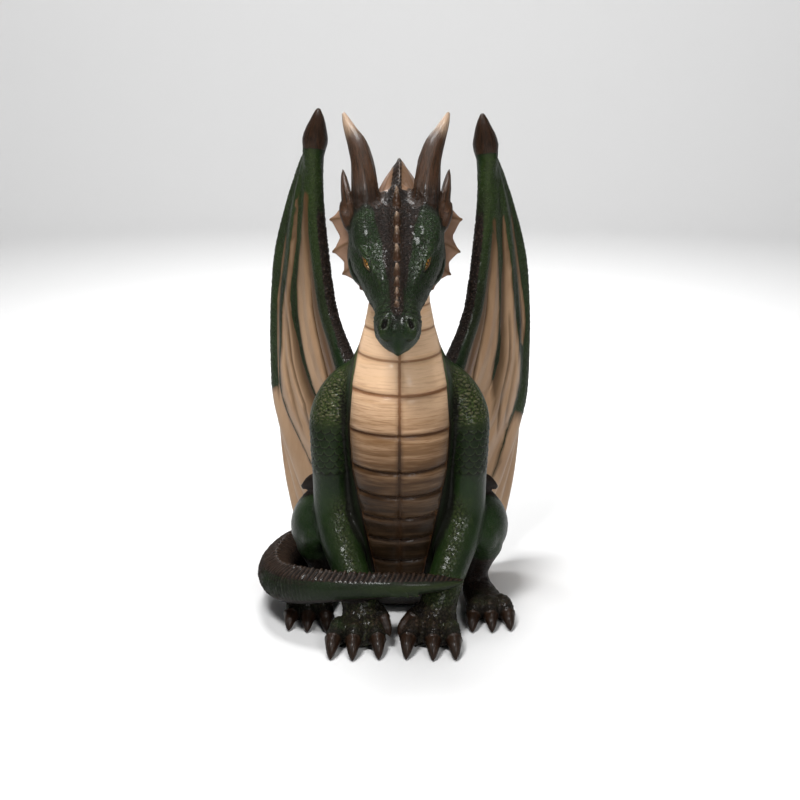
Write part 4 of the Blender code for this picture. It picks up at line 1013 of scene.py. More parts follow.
class Relief:
    """Raises the fine relief on the skin and marks what is painted how."""

    def __init__(self, skin, sizes):
        self.skin, self.sizes = skin, sizes
        self.at, self.normal = skin.at, skin.normals()
        self.count = len(self.at)
        self.lift = np.zeros(self.count)         # metres along the normal
        self.shove = np.zeros((self.count, 3))   # and in any direction
        self.mark = {name: np.full(self.count, start) for name, start in MARKS.items()}
        self.grain = np.zeros((self.count, 3))   # across and along a horn, for its streaks
        self.detail = np.zeros(self.count)       # where faces are kept
        self.pebble, self.pebble_edge = cells(self.at, PEBBLE_SIZE)
        self.noise = cells(self.at, PATCH_SIZE)[0]

    def dye(self, here=ALL, **marks):
        """Raises the marks named, or the detail, to at least these values."""
        for name, values in marks.items():
            kept = self.detail if name == "detail" else self.mark[name]
            kept[here] = np.maximum(kept[here], values)

    def crackle(self, here, edge, width, depth, zone):
        """Sinks the lines between cells, by how far each point is from its cell's edge."""
        self.lift[here] += depth * (soft(edge, 0.0, width) - 1) * zone

    def horny(self, place, start, limit=1.30, tip_from=0.55, pale=1.0, grain=1.0):
        """Marks a horn or claw from `start` metres along it, and how pale its tip is."""
        edge = np.minimum(place.run - start, (limit - place.ratio) * place.radius)
        take = edge > self.mark["horn"][place.here]
        here = place.here[take]
        self.mark["horn"][here] = edge[take]
        self.mark["dark"][here] = 0.0
        self.mark["tip"][here] = pale * soft(place.run / place.length, tip_from, 1.0)[take]
        turn = place.turn[take]
        self.grain[here] = np.stack([np.cos(turn) * grain, np.sin(turn) * grain,
                                     place.run[take] / 0.03], axis=1)

    def belly(self):
        """The cream belly and throat: raised plates between grooves."""
        x, y, z = self.at.T
        half = np.interp(z, *np.array(BELLY_WIDTHS).T)
        middle, wide, deep = torso_front(z)
        front = middle - deep * np.clip(1 - np.abs(x / wide) ** 2.2, 0, 1) ** (1 / 2.2)
        gap, inside = np.abs(y - front), half - np.abs(x)
        near = np.clip(1 - (gap - 0.020) / 0.014, 0, 1)
        near *= np.clip((z - 0.04) / 0.03, 0, 1) * np.clip((0.93 - z) / 0.03, 0, 1)
        near *= self.normal[:, 1] < 0.15
        strong = 0.32 + 0.68 * soft(z, 0.72, 0.54)
        grooves = np.array(BELLY_GROOVES)
        level = z - 0.7 * np.interp(z, *BELLY_SAG) * (x / half) ** 2
        to_groove = np.min([np.abs(level - g) for g in grooves], axis=0)
        plate = np.interp(level, grooves, np.arange(len(grooves)))
        plate += (np.minimum((level - grooves[0]) / 0.05, 0)
                  + np.maximum((level - grooves[-1]) / 0.05, 0))
        share = plate - np.floor(plate)
        within = np.clip(inside / 0.006, 0, 1)
        lift = BELLY_RAISE * within
        lift -= self.sizes.groove_depth * ridge(to_groove, 0.0042) * within * strong
        lift -= self.sizes.groove_depth * 0.8 * ridge(x, 0.0040) * within
        lift += PLATE_SWELL * (1 - (2 * share - 1) ** 4) * within * strong
        lift += PLATE_LIP * soft(share, 0.30, 0.08) * within * strong
        self.lift += lift * near * np.clip(strong * 1.3, 0, 1)
        edge = np.minimum(np.minimum(inside, 0.027 - gap), np.minimum(z - 0.05, 0.94 - z))
        edge = np.where(self.normal[:, 1] < 0.30, edge, OUTSIDE)
        self.mark["belly"] = np.clip(edge, OUTSIDE, -OUTSIDE)
        self.mark["plate"] = plate
        # painted shade on the flank, in the gap between the arm and the belly
        flank_shade = soft(inside, -0.006, -0.012) * soft(np.abs(x), 0.172, 0.158) * (gap < 0.04)
        flank_shade *= soft(z, 0.60, 0.54) * soft(z, 0.10, 0.14) * (self.normal[:, 1] < 0.4)
        self.dye(dark=flank_shade, detail=ridge(to_groove, 0.012) * (near > 0.3) * within)
        self.dye(detail=ridge(inside, 0.010) * (near > 0.3))

    def back(self):
        """Scales over the back and the flanks, plainer than in front."""
        torso = Place(self.at, TORSO, FORWARD, count=30, reach=0.02)
        here, aside = torso.here, np.abs(self.at[torso.here, 0])
        behind = soft(np.cos(torso.turn), 0.1, -0.5) * soft(torso.ratio, 1.35, 1.15)
        brown = behind * soft(aside, 0.050, 0.026)
        self.crackle(here, self.pebble_edge[here], 0.35, BACK_SCALES, behind)
        self.dye(here, scaly=0.55 * behind, brown=brown,
                 crack=brown * (aside < 0.030 + 0.012 * self.noise[here]))

    def arms(self):
        """Wrinkled shoulders, overlapping scales below them, cracked strips down the forearms."""
        for arm in mirrored(self.at, ARM, FORWARD, count=44, reach=0.02):
            here, turn, z = arm.here, arm.turn, self.at[arm.here, 2]
            on = soft(arm.ratio, 1.40, 1.20)
            rise, rim, pale = overlapping_scales(turn * arm.radius, arm.run)
            zone = soft(z, 0.345, 0.390) * soft(z, 0.510, 0.480)
            zone *= soft(turn, -1.55, -1.25) * soft(turn, 1.35, 1.05)
            self.lift[here] += self.sizes.scale_height * (rise - 0.55) * zone * on
            # the scales painted dark, with painted shade below each rim and a painted highlight
            # just inside it
            self.dye(here, dark=(0.45 + 0.55 * rim) * (1 - pale) * zone * on,
                     leaf=0.35 * pale * zone * on, detail=zone * on)
            # the shoulder's top, wrinkled and cracked, with painted highlights
            top = on * soft(z, 0.470, 0.520) * soft(z, 0.640, 0.600) * soft(np.cos(turn), 0.0, 0.5)
            self.crackle(here, cells(self.at[here], SHOULDER_CRACKS)[1], 0.38, SHOULDER_DEPTH, top)
            self.dye(here, crack=top, leaf=top, detail=top * 0.9)
            # the forearm's front and the ankle, with painted highlights down the forearm's cracked
            # strip; painted shade on the arm's inner side
            strip = on * ridge(turn - 0.35, 0.55) * soft(z, 0.345, 0.290) * soft(z, 0.080, 0.110)
            strip = np.maximum(strip, on * soft(z, 0.170, 0.120) * soft(np.cos(turn), -0.6, 0.2))
            self.crackle(here, cells(self.at[here], FOREARM_CRACKS)[1], 0.34, FOREARM_DEPTH, strip)
            self.dye(here, crack=strip * 0.8, leaf=strip * 0.5, detail=strip * 0.9,
                     scaly=on * soft(z, 0.165, 0.110), brown=on * 0.30 * soft(z, 0.130, 0.070),
                     dark=on * soft(turn, 1.6, 2.4) * soft(z, 0.56, 0.50))

    def legs(self):
        """Brown cracked shanks and pebbled feet."""
        for leg in mirrored(self.at, THIGH, UPWARD, count=30, reach=0.02):
            on = soft(leg.ratio, 1.35, 1.15)
            self.dye(leg.here, crack=on * 0.35 * soft(leg.run / leg.length, 0.6, 0.8))
        for shank in mirrored(self.at, SHANK, SHANK_FRONT, count=24, reach=0.02):
            on = soft(shank.ratio, 1.6, 1.3) * soft(self.at[shank.here, 2], 0.165, 0.125)
            self.dye(shank.here, brown=on, crack=on, scaly=on)
        low = soft(self.at[:, 2], 0.125, 0.085) * (self.at[:, 1] < 0.02)
        knobs = (1 - soft(self.pebble, 0.10, 0.62)) * low * soft(self.normal[:, 2], -0.3, 0.2)
        self.lift += FOOT_KNOBS * knobs
        self.dye(brown=low * 0.50, scaly=low, crack=low * 0.45, dark=low * 0.35, detail=low * 0.8)

    def claws(self):
        """Smooth dark claws, each in a cuff of skin."""
        for rows, start in claw_stations():
            claw = Place(self.at, rows, UPWARD, count=24, reach=0.012)
            here = claw.here
            self.horny(claw, start, limit=1.42, tip_from=0.5, pale=0.10)
            self.lift[here] *= 1 - soft(claw.ratio, 1.55, 1.40) * soft(claw.run - start, 0, 0.004)
            cuff = ridge(claw.run - start, 0.0035) * soft(claw.ratio, 1.6, 1.4)
            self.lift[here] += CLAW_CUFF * cuff
            self.dye(here, dark=0.7 * soft(claw.ratio, 1.6, 1.45),
                     detail=soft(claw.ratio, 1.7, 1.5))

    def tail(self):
        """A ribbed brown top, wrinkled sides, and a brown underside in painted shade."""
        tail = Place(self.at, TAIL, UPWARD, count=70, reach=0.02)
        here, turn, run, share = tail.here, tail.turn, tail.run, tail.run / tail.length
        off = np.abs(turn)
        on = soft(tail.ratio, 1.42, 1.22) * soft(share, 0.10, 0.16)
        top, under = soft(off, 0.95, 0.70), soft(off, 2.0, 2.5)
        side = soft(off, 0.6, 0.9) * soft(off, 2.5, 2.1)
        # ribs slanting back from the keel, closer together towards the tip
        chevron = np.cos((run + off * 0.012) * 2 * math.pi / TAIL_RIB_STEP)
        self.lift[here] += TAIL_RIBS * chevron * top * on * soft(share, 0.28, 0.34)
        # rings of wrinkles and pebbles round the bend
        rings = np.cos(run * 2 * math.pi / TAIL_RING_STEP + 1.5 * np.sin(turn * 3)
                       + 2.5 * self.noise[here])
        bend = soft(share, 0.20, 0.30) * soft(share, 0.76, 0.56)
        self.lift[here] += TAIL_RINGS * rings * side * bend * on
        self.crackle(here, self.pebble_edge[here], 0.35, TAIL_PEBBLES, side * bend * on)
        # painted shade over the underside and in the troughs between the top's ribs; a painted
        # highlight along the side towards the tip
        self.dye(here, brown=on * np.maximum.reduce([top, under,
                                                     side * ridge(share - 0.44, 0.12) * 0.9,
                                                     ridge(turn - 1.05, 0.25) * 0.45]),
                 dark=on * np.maximum.reduce([under, top * (0.45 + 0.30 * (chevron < -0.3)),
                                              side * 0.50]),
                 scaly=on * (0.35 + 0.65 * side * bend), crack=on * 0.6 * side * bend,
                 leaf=on * ridge(turn - 1.45, 0.30) * soft(share, 0.72, 0.92) * 0.8,
                 detail=on * (0.4 + 0.4 * top))

    def elbows(self):
        """Dark brown lobes."""
        for rows in ELBOW_FINS:
            for lobe in mirrored(self.at, rows, UPWARD, count=14, reach=0.006):
                on = soft(lobe.ratio, 1.5, 1.3) * soft(lobe.run, 0.026, 0.034)
                self.dye(lobe.here, brown=on, dark=on * 0.6)
                self.mark["cream"][lobe.here[on > 0.4]] = OUTSIDE

    def head(self):
        """Cracked brows, keel, nostrils, snout folds and the mouth's line."""
        local = self.at - np.array(CROWN)
        s, n = local @ SKULL_ALONG, local @ SKULL_ABOVE
        x = local[:, 0] - lean(s)
        ax = np.abs(x)
        skull = Place(self.at, [(*on_head(0, a, b), w, h) for a, b, w, h, _, _ in SKULL],
                      SKULL_ABOVE, count=40, reach=0.05)
        on = skull.spread(soft(skull.ratio, 1.75, 1.45), self.count, 0.0)
        on *= soft(s, -0.045, -0.025) * soft(s, 0.40, 0.36)
        upper = soft(n, -0.085, -0.060)
        # cracked plates over the brows, finer ones over the cheeks
        big = soft(self.pebble_edge, 0.02, 0.30) - 1
        amount = on * (0.35 + 0.65 * soft(ax, 0.11, 0.09) * upper) * soft(s, 0.335, 0.315)
        self.lift += self.sizes.crack_depth * big * amount
        half = np.interp(s, *HEAD_BROWN)
        middle = soft(ax - half + 0.010 * (self.noise - 0.5), 0.008, -0.008) * upper
        middle *= on * soft(s, 0.30, 0.27)
        keel = ridge(ax, 0.0095) * upper * on * soft(s, 0.305, 0.295)
        self.dye(scaly=on * soft(s, 0.335, 0.31), crack=on * upper * soft(s, 0.33, 0.30),
                 brown=middle, dark=np.maximum(middle * 0.55, keel), detail=on * 0.75)
        # nostrils: teardrops with raised rims
        face = on * (n > -0.02)
        dx = ax - NOSTRIL[0] - 0.22 * (s - NOSTRIL[1])
        q = np.hypot(dx / 0.0060, (s - NOSTRIL[1]) / np.where(s > NOSTRIL[1], 0.010, 0.0145))
        self.shove -= SKULL_ABOVE * (NOSTRIL_DEPTH * soft(q, 1.05, 0.55) * face)[:, None]
        self.lift += NOSTRIL_RIM * ridge(q - 1.45, 0.42) * face
        self.dye(dark=soft(q, 1.25, 0.85) * face)
        # scaly folds across the snout behind the nostrils
        folds = np.cos((s - 0.10 * ax) * 2 * math.pi / SNOUT_STEP)
        zone = soft(s, 0.235, 0.255) * soft(s, 0.302, 0.288) * soft(ax, 0.010, 0.018) * face
        self.lift += SNOUT_FOLDS * folds * zone
        # mouth line
        line = n + 0.047 - 0.010 * np.sin(s * 26)
        side = (s > 0.12) & (s < 0.352) & (n < 0.0) & (ax > 0.004)
        self.lift -= MOUTH_DEPTH * ridge(line, 0.0042) * side * on
        self.dye(dark=ridge(line, 0.0045) * side * on)
        self.eyes(x, s, n, on)
        self.mark["scaly"] *= 1 - 0.5 * soft(n, -0.060, -0.085) * on * (s < 0.30)
        self.crest(s, n)

    def eyes(self, x, s, n, on):
        """Almond eyes under the brow ridges, between raised lids."""
        for side in (-1, 1):
            gap = np.stack([x * side, s, n], axis=1) - np.array(EYE)
            u, v, out = gap @ EYE_ALONG, gap @ EYE_ACROSS, gap @ EYE_OUT
            near = on * (np.abs(out) < 0.022) * (np.hypot(u, v) < 0.045)
            open_to = EYE_HEIGHT * (1 - np.clip(np.abs(u / EYE_LENGTH), 0, 1) ** 1.7)
            lid = np.where(np.abs(u) > EYE_LENGTH, np.hypot(np.abs(u) - EYE_LENGTH, v),
                           np.abs(v) - open_to)
            self.lift -= EYE_SINK * soft(lid, 0.0006, -0.0016) * near
            self.lift += EYE_LID * ridge(lid - 0.0026, 0.0020) * near
            self.lift -= EYE_FURROW * ridge(lid - 0.0068, 0.0022) * near
            self.dye(detail=near)
            self.mark["scaly"] *= 1 - 0.8 * near * soft(np.hypot(u, v), 0.040, 0.024)

    def crest(self, s, n):
        """Folded nape crest: bare cream faces, one of them in painted shade, dark spine and
        slanting ribs.
        """
        xb, y, z = self.at.T
        ax = np.abs(xb - HEAD_LEAN * 0.5)
        zone = soft(z, 0.985, 1.000) * soft(y, -0.124, -0.112) * soft(y, 0.085, 0.070)
        zone *= soft(ax, 0.078, 0.060)
        horns = np.zeros(self.count)
        for horn in mirrored(self.at, HORN, FORWARD, count=24, reach=0.0):
            horns[horn.here] = np.maximum(horns[horn.here], soft(horn.ratio, 1.35, 1.15))
        zone *= 1 - horns
        ribs = np.cos((n * 0.35 - s + ax * 0.9) * 2 * math.pi / CREST_STEP)
        self.lift += CREST_RIBS * ribs * zone * soft(ax, 0.024, 0.012)
        ax = np.abs(xb - HEAD_LEAN * 0.5 + np.interp(y, (-0.12, -0.03), (0.008, 0.001)))
        spine = ax - np.interp(y, (-0.12, -0.08, 0.0), (0.017, 0.013, 0.0085))
        face = np.minimum(np.minimum(spine, z - 1.004), 0.072 - ax)
        face = np.where(zone > 0.5, face, OUTSIDE)
        spokes = np.abs((np.arctan2(z - 0.975, y + 0.06) / 0.26) % 1.0 - 0.5)
        spokes = ridge(spokes, 0.09) * zone * soft(face, 0.002, 0.012)
        self.lift += CREST_SPOKES * spokes
        border = np.maximum(ridge(spine, 0.008), ridge(np.maximum(face, 0), 0.006))
        # the right face in painted shade; the border and the spokes painted as brown lines
        self.dye(brown=zone * soft(spine, 0.003, -0.002), dark=zone * soft(ax, 0.007, 0.003) * 0.6,
                 fold=np.maximum.reduce([zone * soft(xb, 0.0, 0.01) * 0.45, zone * border * 0.8,
                                         spokes * 0.8]),
                 cream=np.minimum(face, y + 0.108), detail=zone * 0.7)

    def horns(self):
        """Fluted horns with a knobbed root, ear spikes, and the spikes of the keel."""
        for mirror in (False, True):
            at = self.at - (HEAD_LEAN, 0, 0)
            horn = Place(at, HORN, FORWARD, count=40, reach=0.01, mirror=mirror)
            here, turn, share = horn.here, horn.turn, horn.run / horn.length
            self.horny(horn, HORN_ROOT + 0.004 * np.cos(turn * 5), limit=1.42, tip_from=0.52,
                       grain=2.6)
            on = soft(horn.ratio, 1.5, 1.3)
            flute = np.cos(turn * 7 + 0.8 * np.sin(share * 9))
            self.lift[here] += (HORN_FLUTES * flute * on * soft(share, 0.10, 0.16)
                                * soft(share, 0.62, 0.35))
            knobs = 0.5 + 0.5 * np.cos(turn * 9)
            self.lift[here] += HORN_KNOBS * knobs * on * ridge(horn.run - HORN_ROOT, 0.006)
            self.dye(here, dark=0.75 * soft(horn.ratio, 1.6, 1.45) * soft(horn.run, 0.075, 0.035),
                     detail=on * 0.7)
            for rows, start, count, tip_from in ((EAR_SPIKE, 0.004, 16, 0.7),
                                                 (LOW_SPIKE, 0.002, 12, 0.8)):
                spike = Place(at, rows, SPIKE_FRONT, count=count, reach=0.01, mirror=mirror)
                self.horny(spike, start, limit=1.5, tip_from=tip_from, pale=0.2)
        for rows in keel_stations():
            spike = Place(self.at - (HEAD_LEAN * 0.7, 0, 0), rows, SKULL_ABOVE, count=10,
                          reach=0.006)
            # pale tips: dry brushing, and a painted silvery highlight
            self.horny(spike, 0.002, limit=1.50, tip_from=0.30, pale=0.60)
            self.lift[spike.here] += KEEL_SWELL * soft(spike.ratio, 1.4, 0.4)
            self.dye(spike.here, detail=soft(spike.ratio, 2.2, 1.6),
                     dark=soft(spike.ratio, 1.6, 1.2) * soft(spike.run, 0.009, 0.003) * 0.9)

    def frills(self):
        """Ribbed cream webs at the cheeks."""
        root, rim = spline(FRILL_ROOT, 33), np.asarray(FRILL_RIM)
        for side in (-1, 1):
            at = (self.at - (HEAD_LEAN, 0, 0)) * (side, 1, 1)
            here = np.flatnonzero(((at > FRILL_BOX[0]) & (at < FRILL_BOX[1])).all(1))
            p = at[here]
            out = np.min([np.linalg.norm(off_line(p, a, b), axis=1)
                          for a, b in zip(root[:-1], root[1:])], axis=0)
            web = soft(out, 0.010, 0.020)
            self.dye(here, cream=np.where(out > 0.004, out - 0.012, OUTSIDE), detail=web * 0.5)
            for k in FRILL_RIBS:
                gap = off_line(p, root[int(32 * k / 8)], rim[k])
                gap = np.linalg.norm(gap[:, [0, 2]], axis=1)
                self.dye(here, fold=web * soft(gap, 0.0052, 0.0022) * 0.85)
                self.lift[here] += FRILL_RIB_HEIGHT * web * ridge(gap, 0.003)

    def wings(self):
        """Cream skins between green fingers, on the front; green and scaled behind."""
        for side in (-1, 1):
            at = self.at * (side, 1, 1)
            at = undrop(at) if side > 0 else at
            here = np.flatnonzero((at > WING_BOX).all(1))
            p, height = at[here], self.at[here, 2]
            near, ahead = from_wing(p)
            wing, front = near < WING_REACH, ahead > 0
            facing = ahead > -0.001
            arm = Place(p, WING_ARM, FORWARD, count=44, reach=0.02)
            to_arm = arm.spread((arm.ratio - 1) * arm.radius, len(p), -OUTSIDE)
            edge, shade, crease, rim = self.panels(side, here, p[:, 1], to_arm)
            crease *= front
            # painted shade: on each panel's side towards the arm, along the arm and the strips'
            # edges, and down the creases
            shade = np.maximum.reduce([shade * soft(height, 0.36, 0.50),
                                       soft(to_arm, 0.020, 0.004),
                                       ridge(np.maximum(edge, 0), 0.0022), crease / 0.0030])
            band = soft(edge, 0.0005, -0.0020) * front * wing
            self.lift[here] -= 1.3 * crease * wing
            self.lift[here] += STRIP_HEIGHT * band
            self.crackle(here, self.pebble_edge[here], 0.35, STRIP_SCALES, band)
            cream = np.minimum(np.minimum(edge, WING_REACH - near), ahead + 0.001)
            claw = Place(p, WING_CLAW, FORWARD, count=24, reach=0.006)
            cream[claw.here[(claw.ratio < 1.5) & (claw.run > 0)]] = OUTSIDE
            rest = soft(height, 0.86, 0.74) * (np.abs(self.at[here, 0]) < rim)
            self.dye(here, fold=0.95 * shade * front, dark=0.5 * band * rest, cream=cream,
                     scaly=np.maximum(0.9 * band, 0.6 * wing * (ahead < -0.001)),
                     leaf=0.35 * wing * facing, detail=0.8 * ridge(edge, 0.006) * wing * facing)
            self.wing_arm(arm, here[arm.here], p[arm.here, 2])
            cap = Place(p, WING_CLAW, FORWARD, count=24, reach=0.01)
            cap.here = here[cap.here]
            self.horny(cap, 0.020 + 0.004 * np.cos(cap.turn * 2), limit=1.5, tip_from=0.50,
                       pale=0.15, grain=2.0)
            self.dye(cap.here, detail=0.6,
                     dark=0.45 * soft(cap.ratio, 1.6, 1.5) * soft(cap.run, 0.012, 0.024))

    def panels(self, side, here, back, to_arm):
        """A wing's cream panels: how far inside them points are, the painted shade on each panel's
        side towards the arm, and the creases, also in painted shade.
        """
        aside, height = np.abs(self.at[here, 0]), self.at[here, 2]
        *strips, tops, (border_end, slope) = WING_STRIPS[side]
        edges = []
        for rows in strips:
            levels, *places = np.array(rows[::-1]).T
            edges += [np.interp(height, levels, place) for place in places]
        first_in, first_out, second_in, second_out, rim = edges
        # low down the skin turns backwards at the second finger: measured round the bend
        finger = np.array(WING_FINGERS[1])[::-1]
        behind = back - np.interp(height, finger[:, 2], finger[:, 1]) + 0.010
        round_bend = aside + behind * soft(height, 0.62, 0.46)
        under_border = (border_end - slope * (back - 0.275) - height) * 0.5
        waver = 0.0012 * (self.noise[here] - 0.5)
        edge = np.full(len(here), OUTSIDE)
        shade, crease = np.zeros(len(here)), np.zeros(len(here))
        for (inner, outer, start, end), top, folds in zip(
                ((aside - to_arm, first_in, aside, aside),
                 (first_out, second_in, aside, round_bend),
                 (second_out, rim, round_bend, round_bend)), tops, WING_CREASES):
            beyond = outer - end
            if outer is rim:
                beyond = np.maximum(beyond, under_border)
            inside = np.minimum(start - inner, beyond) + waver
            inside = np.minimum(inside, 0.25 * (top - height))
            width = outer - inner
            share = (aside - inner) / np.maximum(width, 0.004)
            take = inside > edge
            edge[take] = inside[take]
            shade[take] = soft(share, 0.62, 0.05)[take]
            for at_top, at_foot, above, below, depth in folds:
                place = np.interp(height, (below, above), (at_foot, at_top))
                fade = soft(height, above, above - 0.08) * soft(height, below, below + 0.06)
                fade *= soft(width, 0.006, 0.016) * take
                crease = np.maximum(crease, ridge((share - place) * width, 0.0042) * fade * depth)
        edge = np.minimum(edge, to_arm + np.where(aside < first_out, -0.0015, 0.004))
        return edge, shade, crease, rim

    def wing_arm(self, arm, here, z):
        """The wing's arm: green outside, dark pebbled skin on the side towards the head."""
        on, inner = soft(arm.ratio, 1.45, 1.2), soft(arm.turn, *ARM_DARK)
        pebbled = on * inner * soft(z, 1.02, 0.90)
        self.crackle(here, self.pebble_edge[here], 0.35, STRIP_SCALES, pebbled)
        # a painted highlight along the edge of the arm's dark side
        self.dye(here, brown=pebbled, dark=on * inner * soft(z, 1.05, 0.95) * 0.6,
                 scaly=0.35 * on + 0.65 * pebbled,
                 leaf=on * 0.6 * ridge(arm.turn - ARM_DARK[0], 0.5) * soft(z, 0.80, 0.95))

    def finish(self):
        """Press everything in, and mark the hollows for the wash and painted shade, and the ridges
        for dry brushing and painted highlights.
        """
        skin = self.skin
        skin.at += self.normal * self.lift[:, None] + self.shove
        self.mark["hollow"] = skin.hollows(6, 0.0011)
        self.mark["deep"] = skin.hollows(40, 0.0060)


class Value:
    """A socket that takes part in Python arithmetic; each operator adds its Math node."""

    def __init__(self, paint, socket):
        self.paint, self.socket = paint, socket

    def math(self, operation, *values):
        """A Math node on the values."""
        return self.paint.node("Math", {"operation": operation}, dict(enumerate(values)))

    def __add__(self, other):
        return self.math("ADD", self, other)

    def __sub__(self, other):
        return self.math("SUBTRACT", self, other)

    def __rsub__(self, other):
        return self.math("SUBTRACT", other, self)

    def __mul__(self, other):
        return self.math("MULTIPLY", self, other)

    def __truediv__(self, other):
        return self.math("DIVIDE", self, other)

    def __pow__(self, other):
        return self.math("POWER", self, other)

    def __abs__(self):
        return self.math("ABSOLUTE", self)

    def __or__(self, other):
        """The greater of two."""
        return self.math("MAXIMUM", self, other)

    def __and__(self, other):
        """The lesser of two."""
        return self.math("MINIMUM", self, other)

    __radd__, __rmul__ = __add__, __mul__

    def fraction(self):
        """What is left over whole numbers."""
        return self.math("FRACT", self)

    def step(self, low, high):
        """0 at low and 1 at high, smooth between; low may be the greater."""
        ends = (high, low, 1.0, 0.0) if low > high else (low, high, 0.0, 1.0)
        return self.paint.node("MapRange", {"interpolation_type": "SMOOTHSTEP"},
                               dict(enumerate((self, *ends))))


class Paint:
    """A material's node tree, written as expressions."""

    def __init__(self, name):
        self.material = bpy.data.materials.new(name)
        self.material.use_nodes = True
        self.tree = self.material.node_tree
        self.shader = self.tree.nodes["Principled BSDF"]

    def node(self, kind, settings=None, values=None, out=0):
        """Any node: its settings first, then values or links by socket; gives one output."""
        made = self.tree.nodes.new("ShaderNode" + kind)
        for name, setting in (settings or {}).items():
            setattr(made, name, setting)
        for key, value in (values or {}).items():
            self.feed(made.inputs[key], value)
        return Value(self, made.outputs[out])

    def feed(self, socket, value):
        """A link where the value varies, and the plain value otherwise."""
        if isinstance(value, Value):
            self.tree.links.new(value.socket, socket)
        else:
            socket.default_value = value

    def set(self, **values):
        """Sockets of the shader, by name."""
        for name, value in values.items():
            self.feed(self.shader.inputs[name.replace("_", " ")], value)

    def mark(self, name, out=2):
        """What the modelling marked on the skin."""
        return self.node("Attribute", {"attribute_name": name}, out=out)

    def mix(self, mask, first, second):
        """The second colour over the first by the mask; each is a node's or three numbers."""
        first, second = (value if isinstance(value, Value) else (*value, 1.0)
                         for value in (first, second))
        return self.node("Mix", {"data_type": "RGBA", "clamp_factor": True},
                         {0: mask, 6: first, 7: second}, out=2)

    def stretch(self, vector, scale):
        """The vector scaled on each axis."""
        return self.node("VectorMath", {"operation": "MULTIPLY"}, {0: vector, 1: scale})

    def noise(self, vector, scale, detail=3.0, rough=0.55, distortion=0.0):
        """Cloudy noise about 0.5."""
        return self.node("TexNoise", {}, {"Vector": vector, "Scale": scale, "Detail": detail,
                                          "Roughness": rough, "Distortion": distortion})

    def cells(self, vector, scale, feature="F1"):
        """Distance to the middle or the edge of random cells."""
        return self.node("TexVoronoi", {"feature": feature}, {"Vector": vector, "Scale": scale})


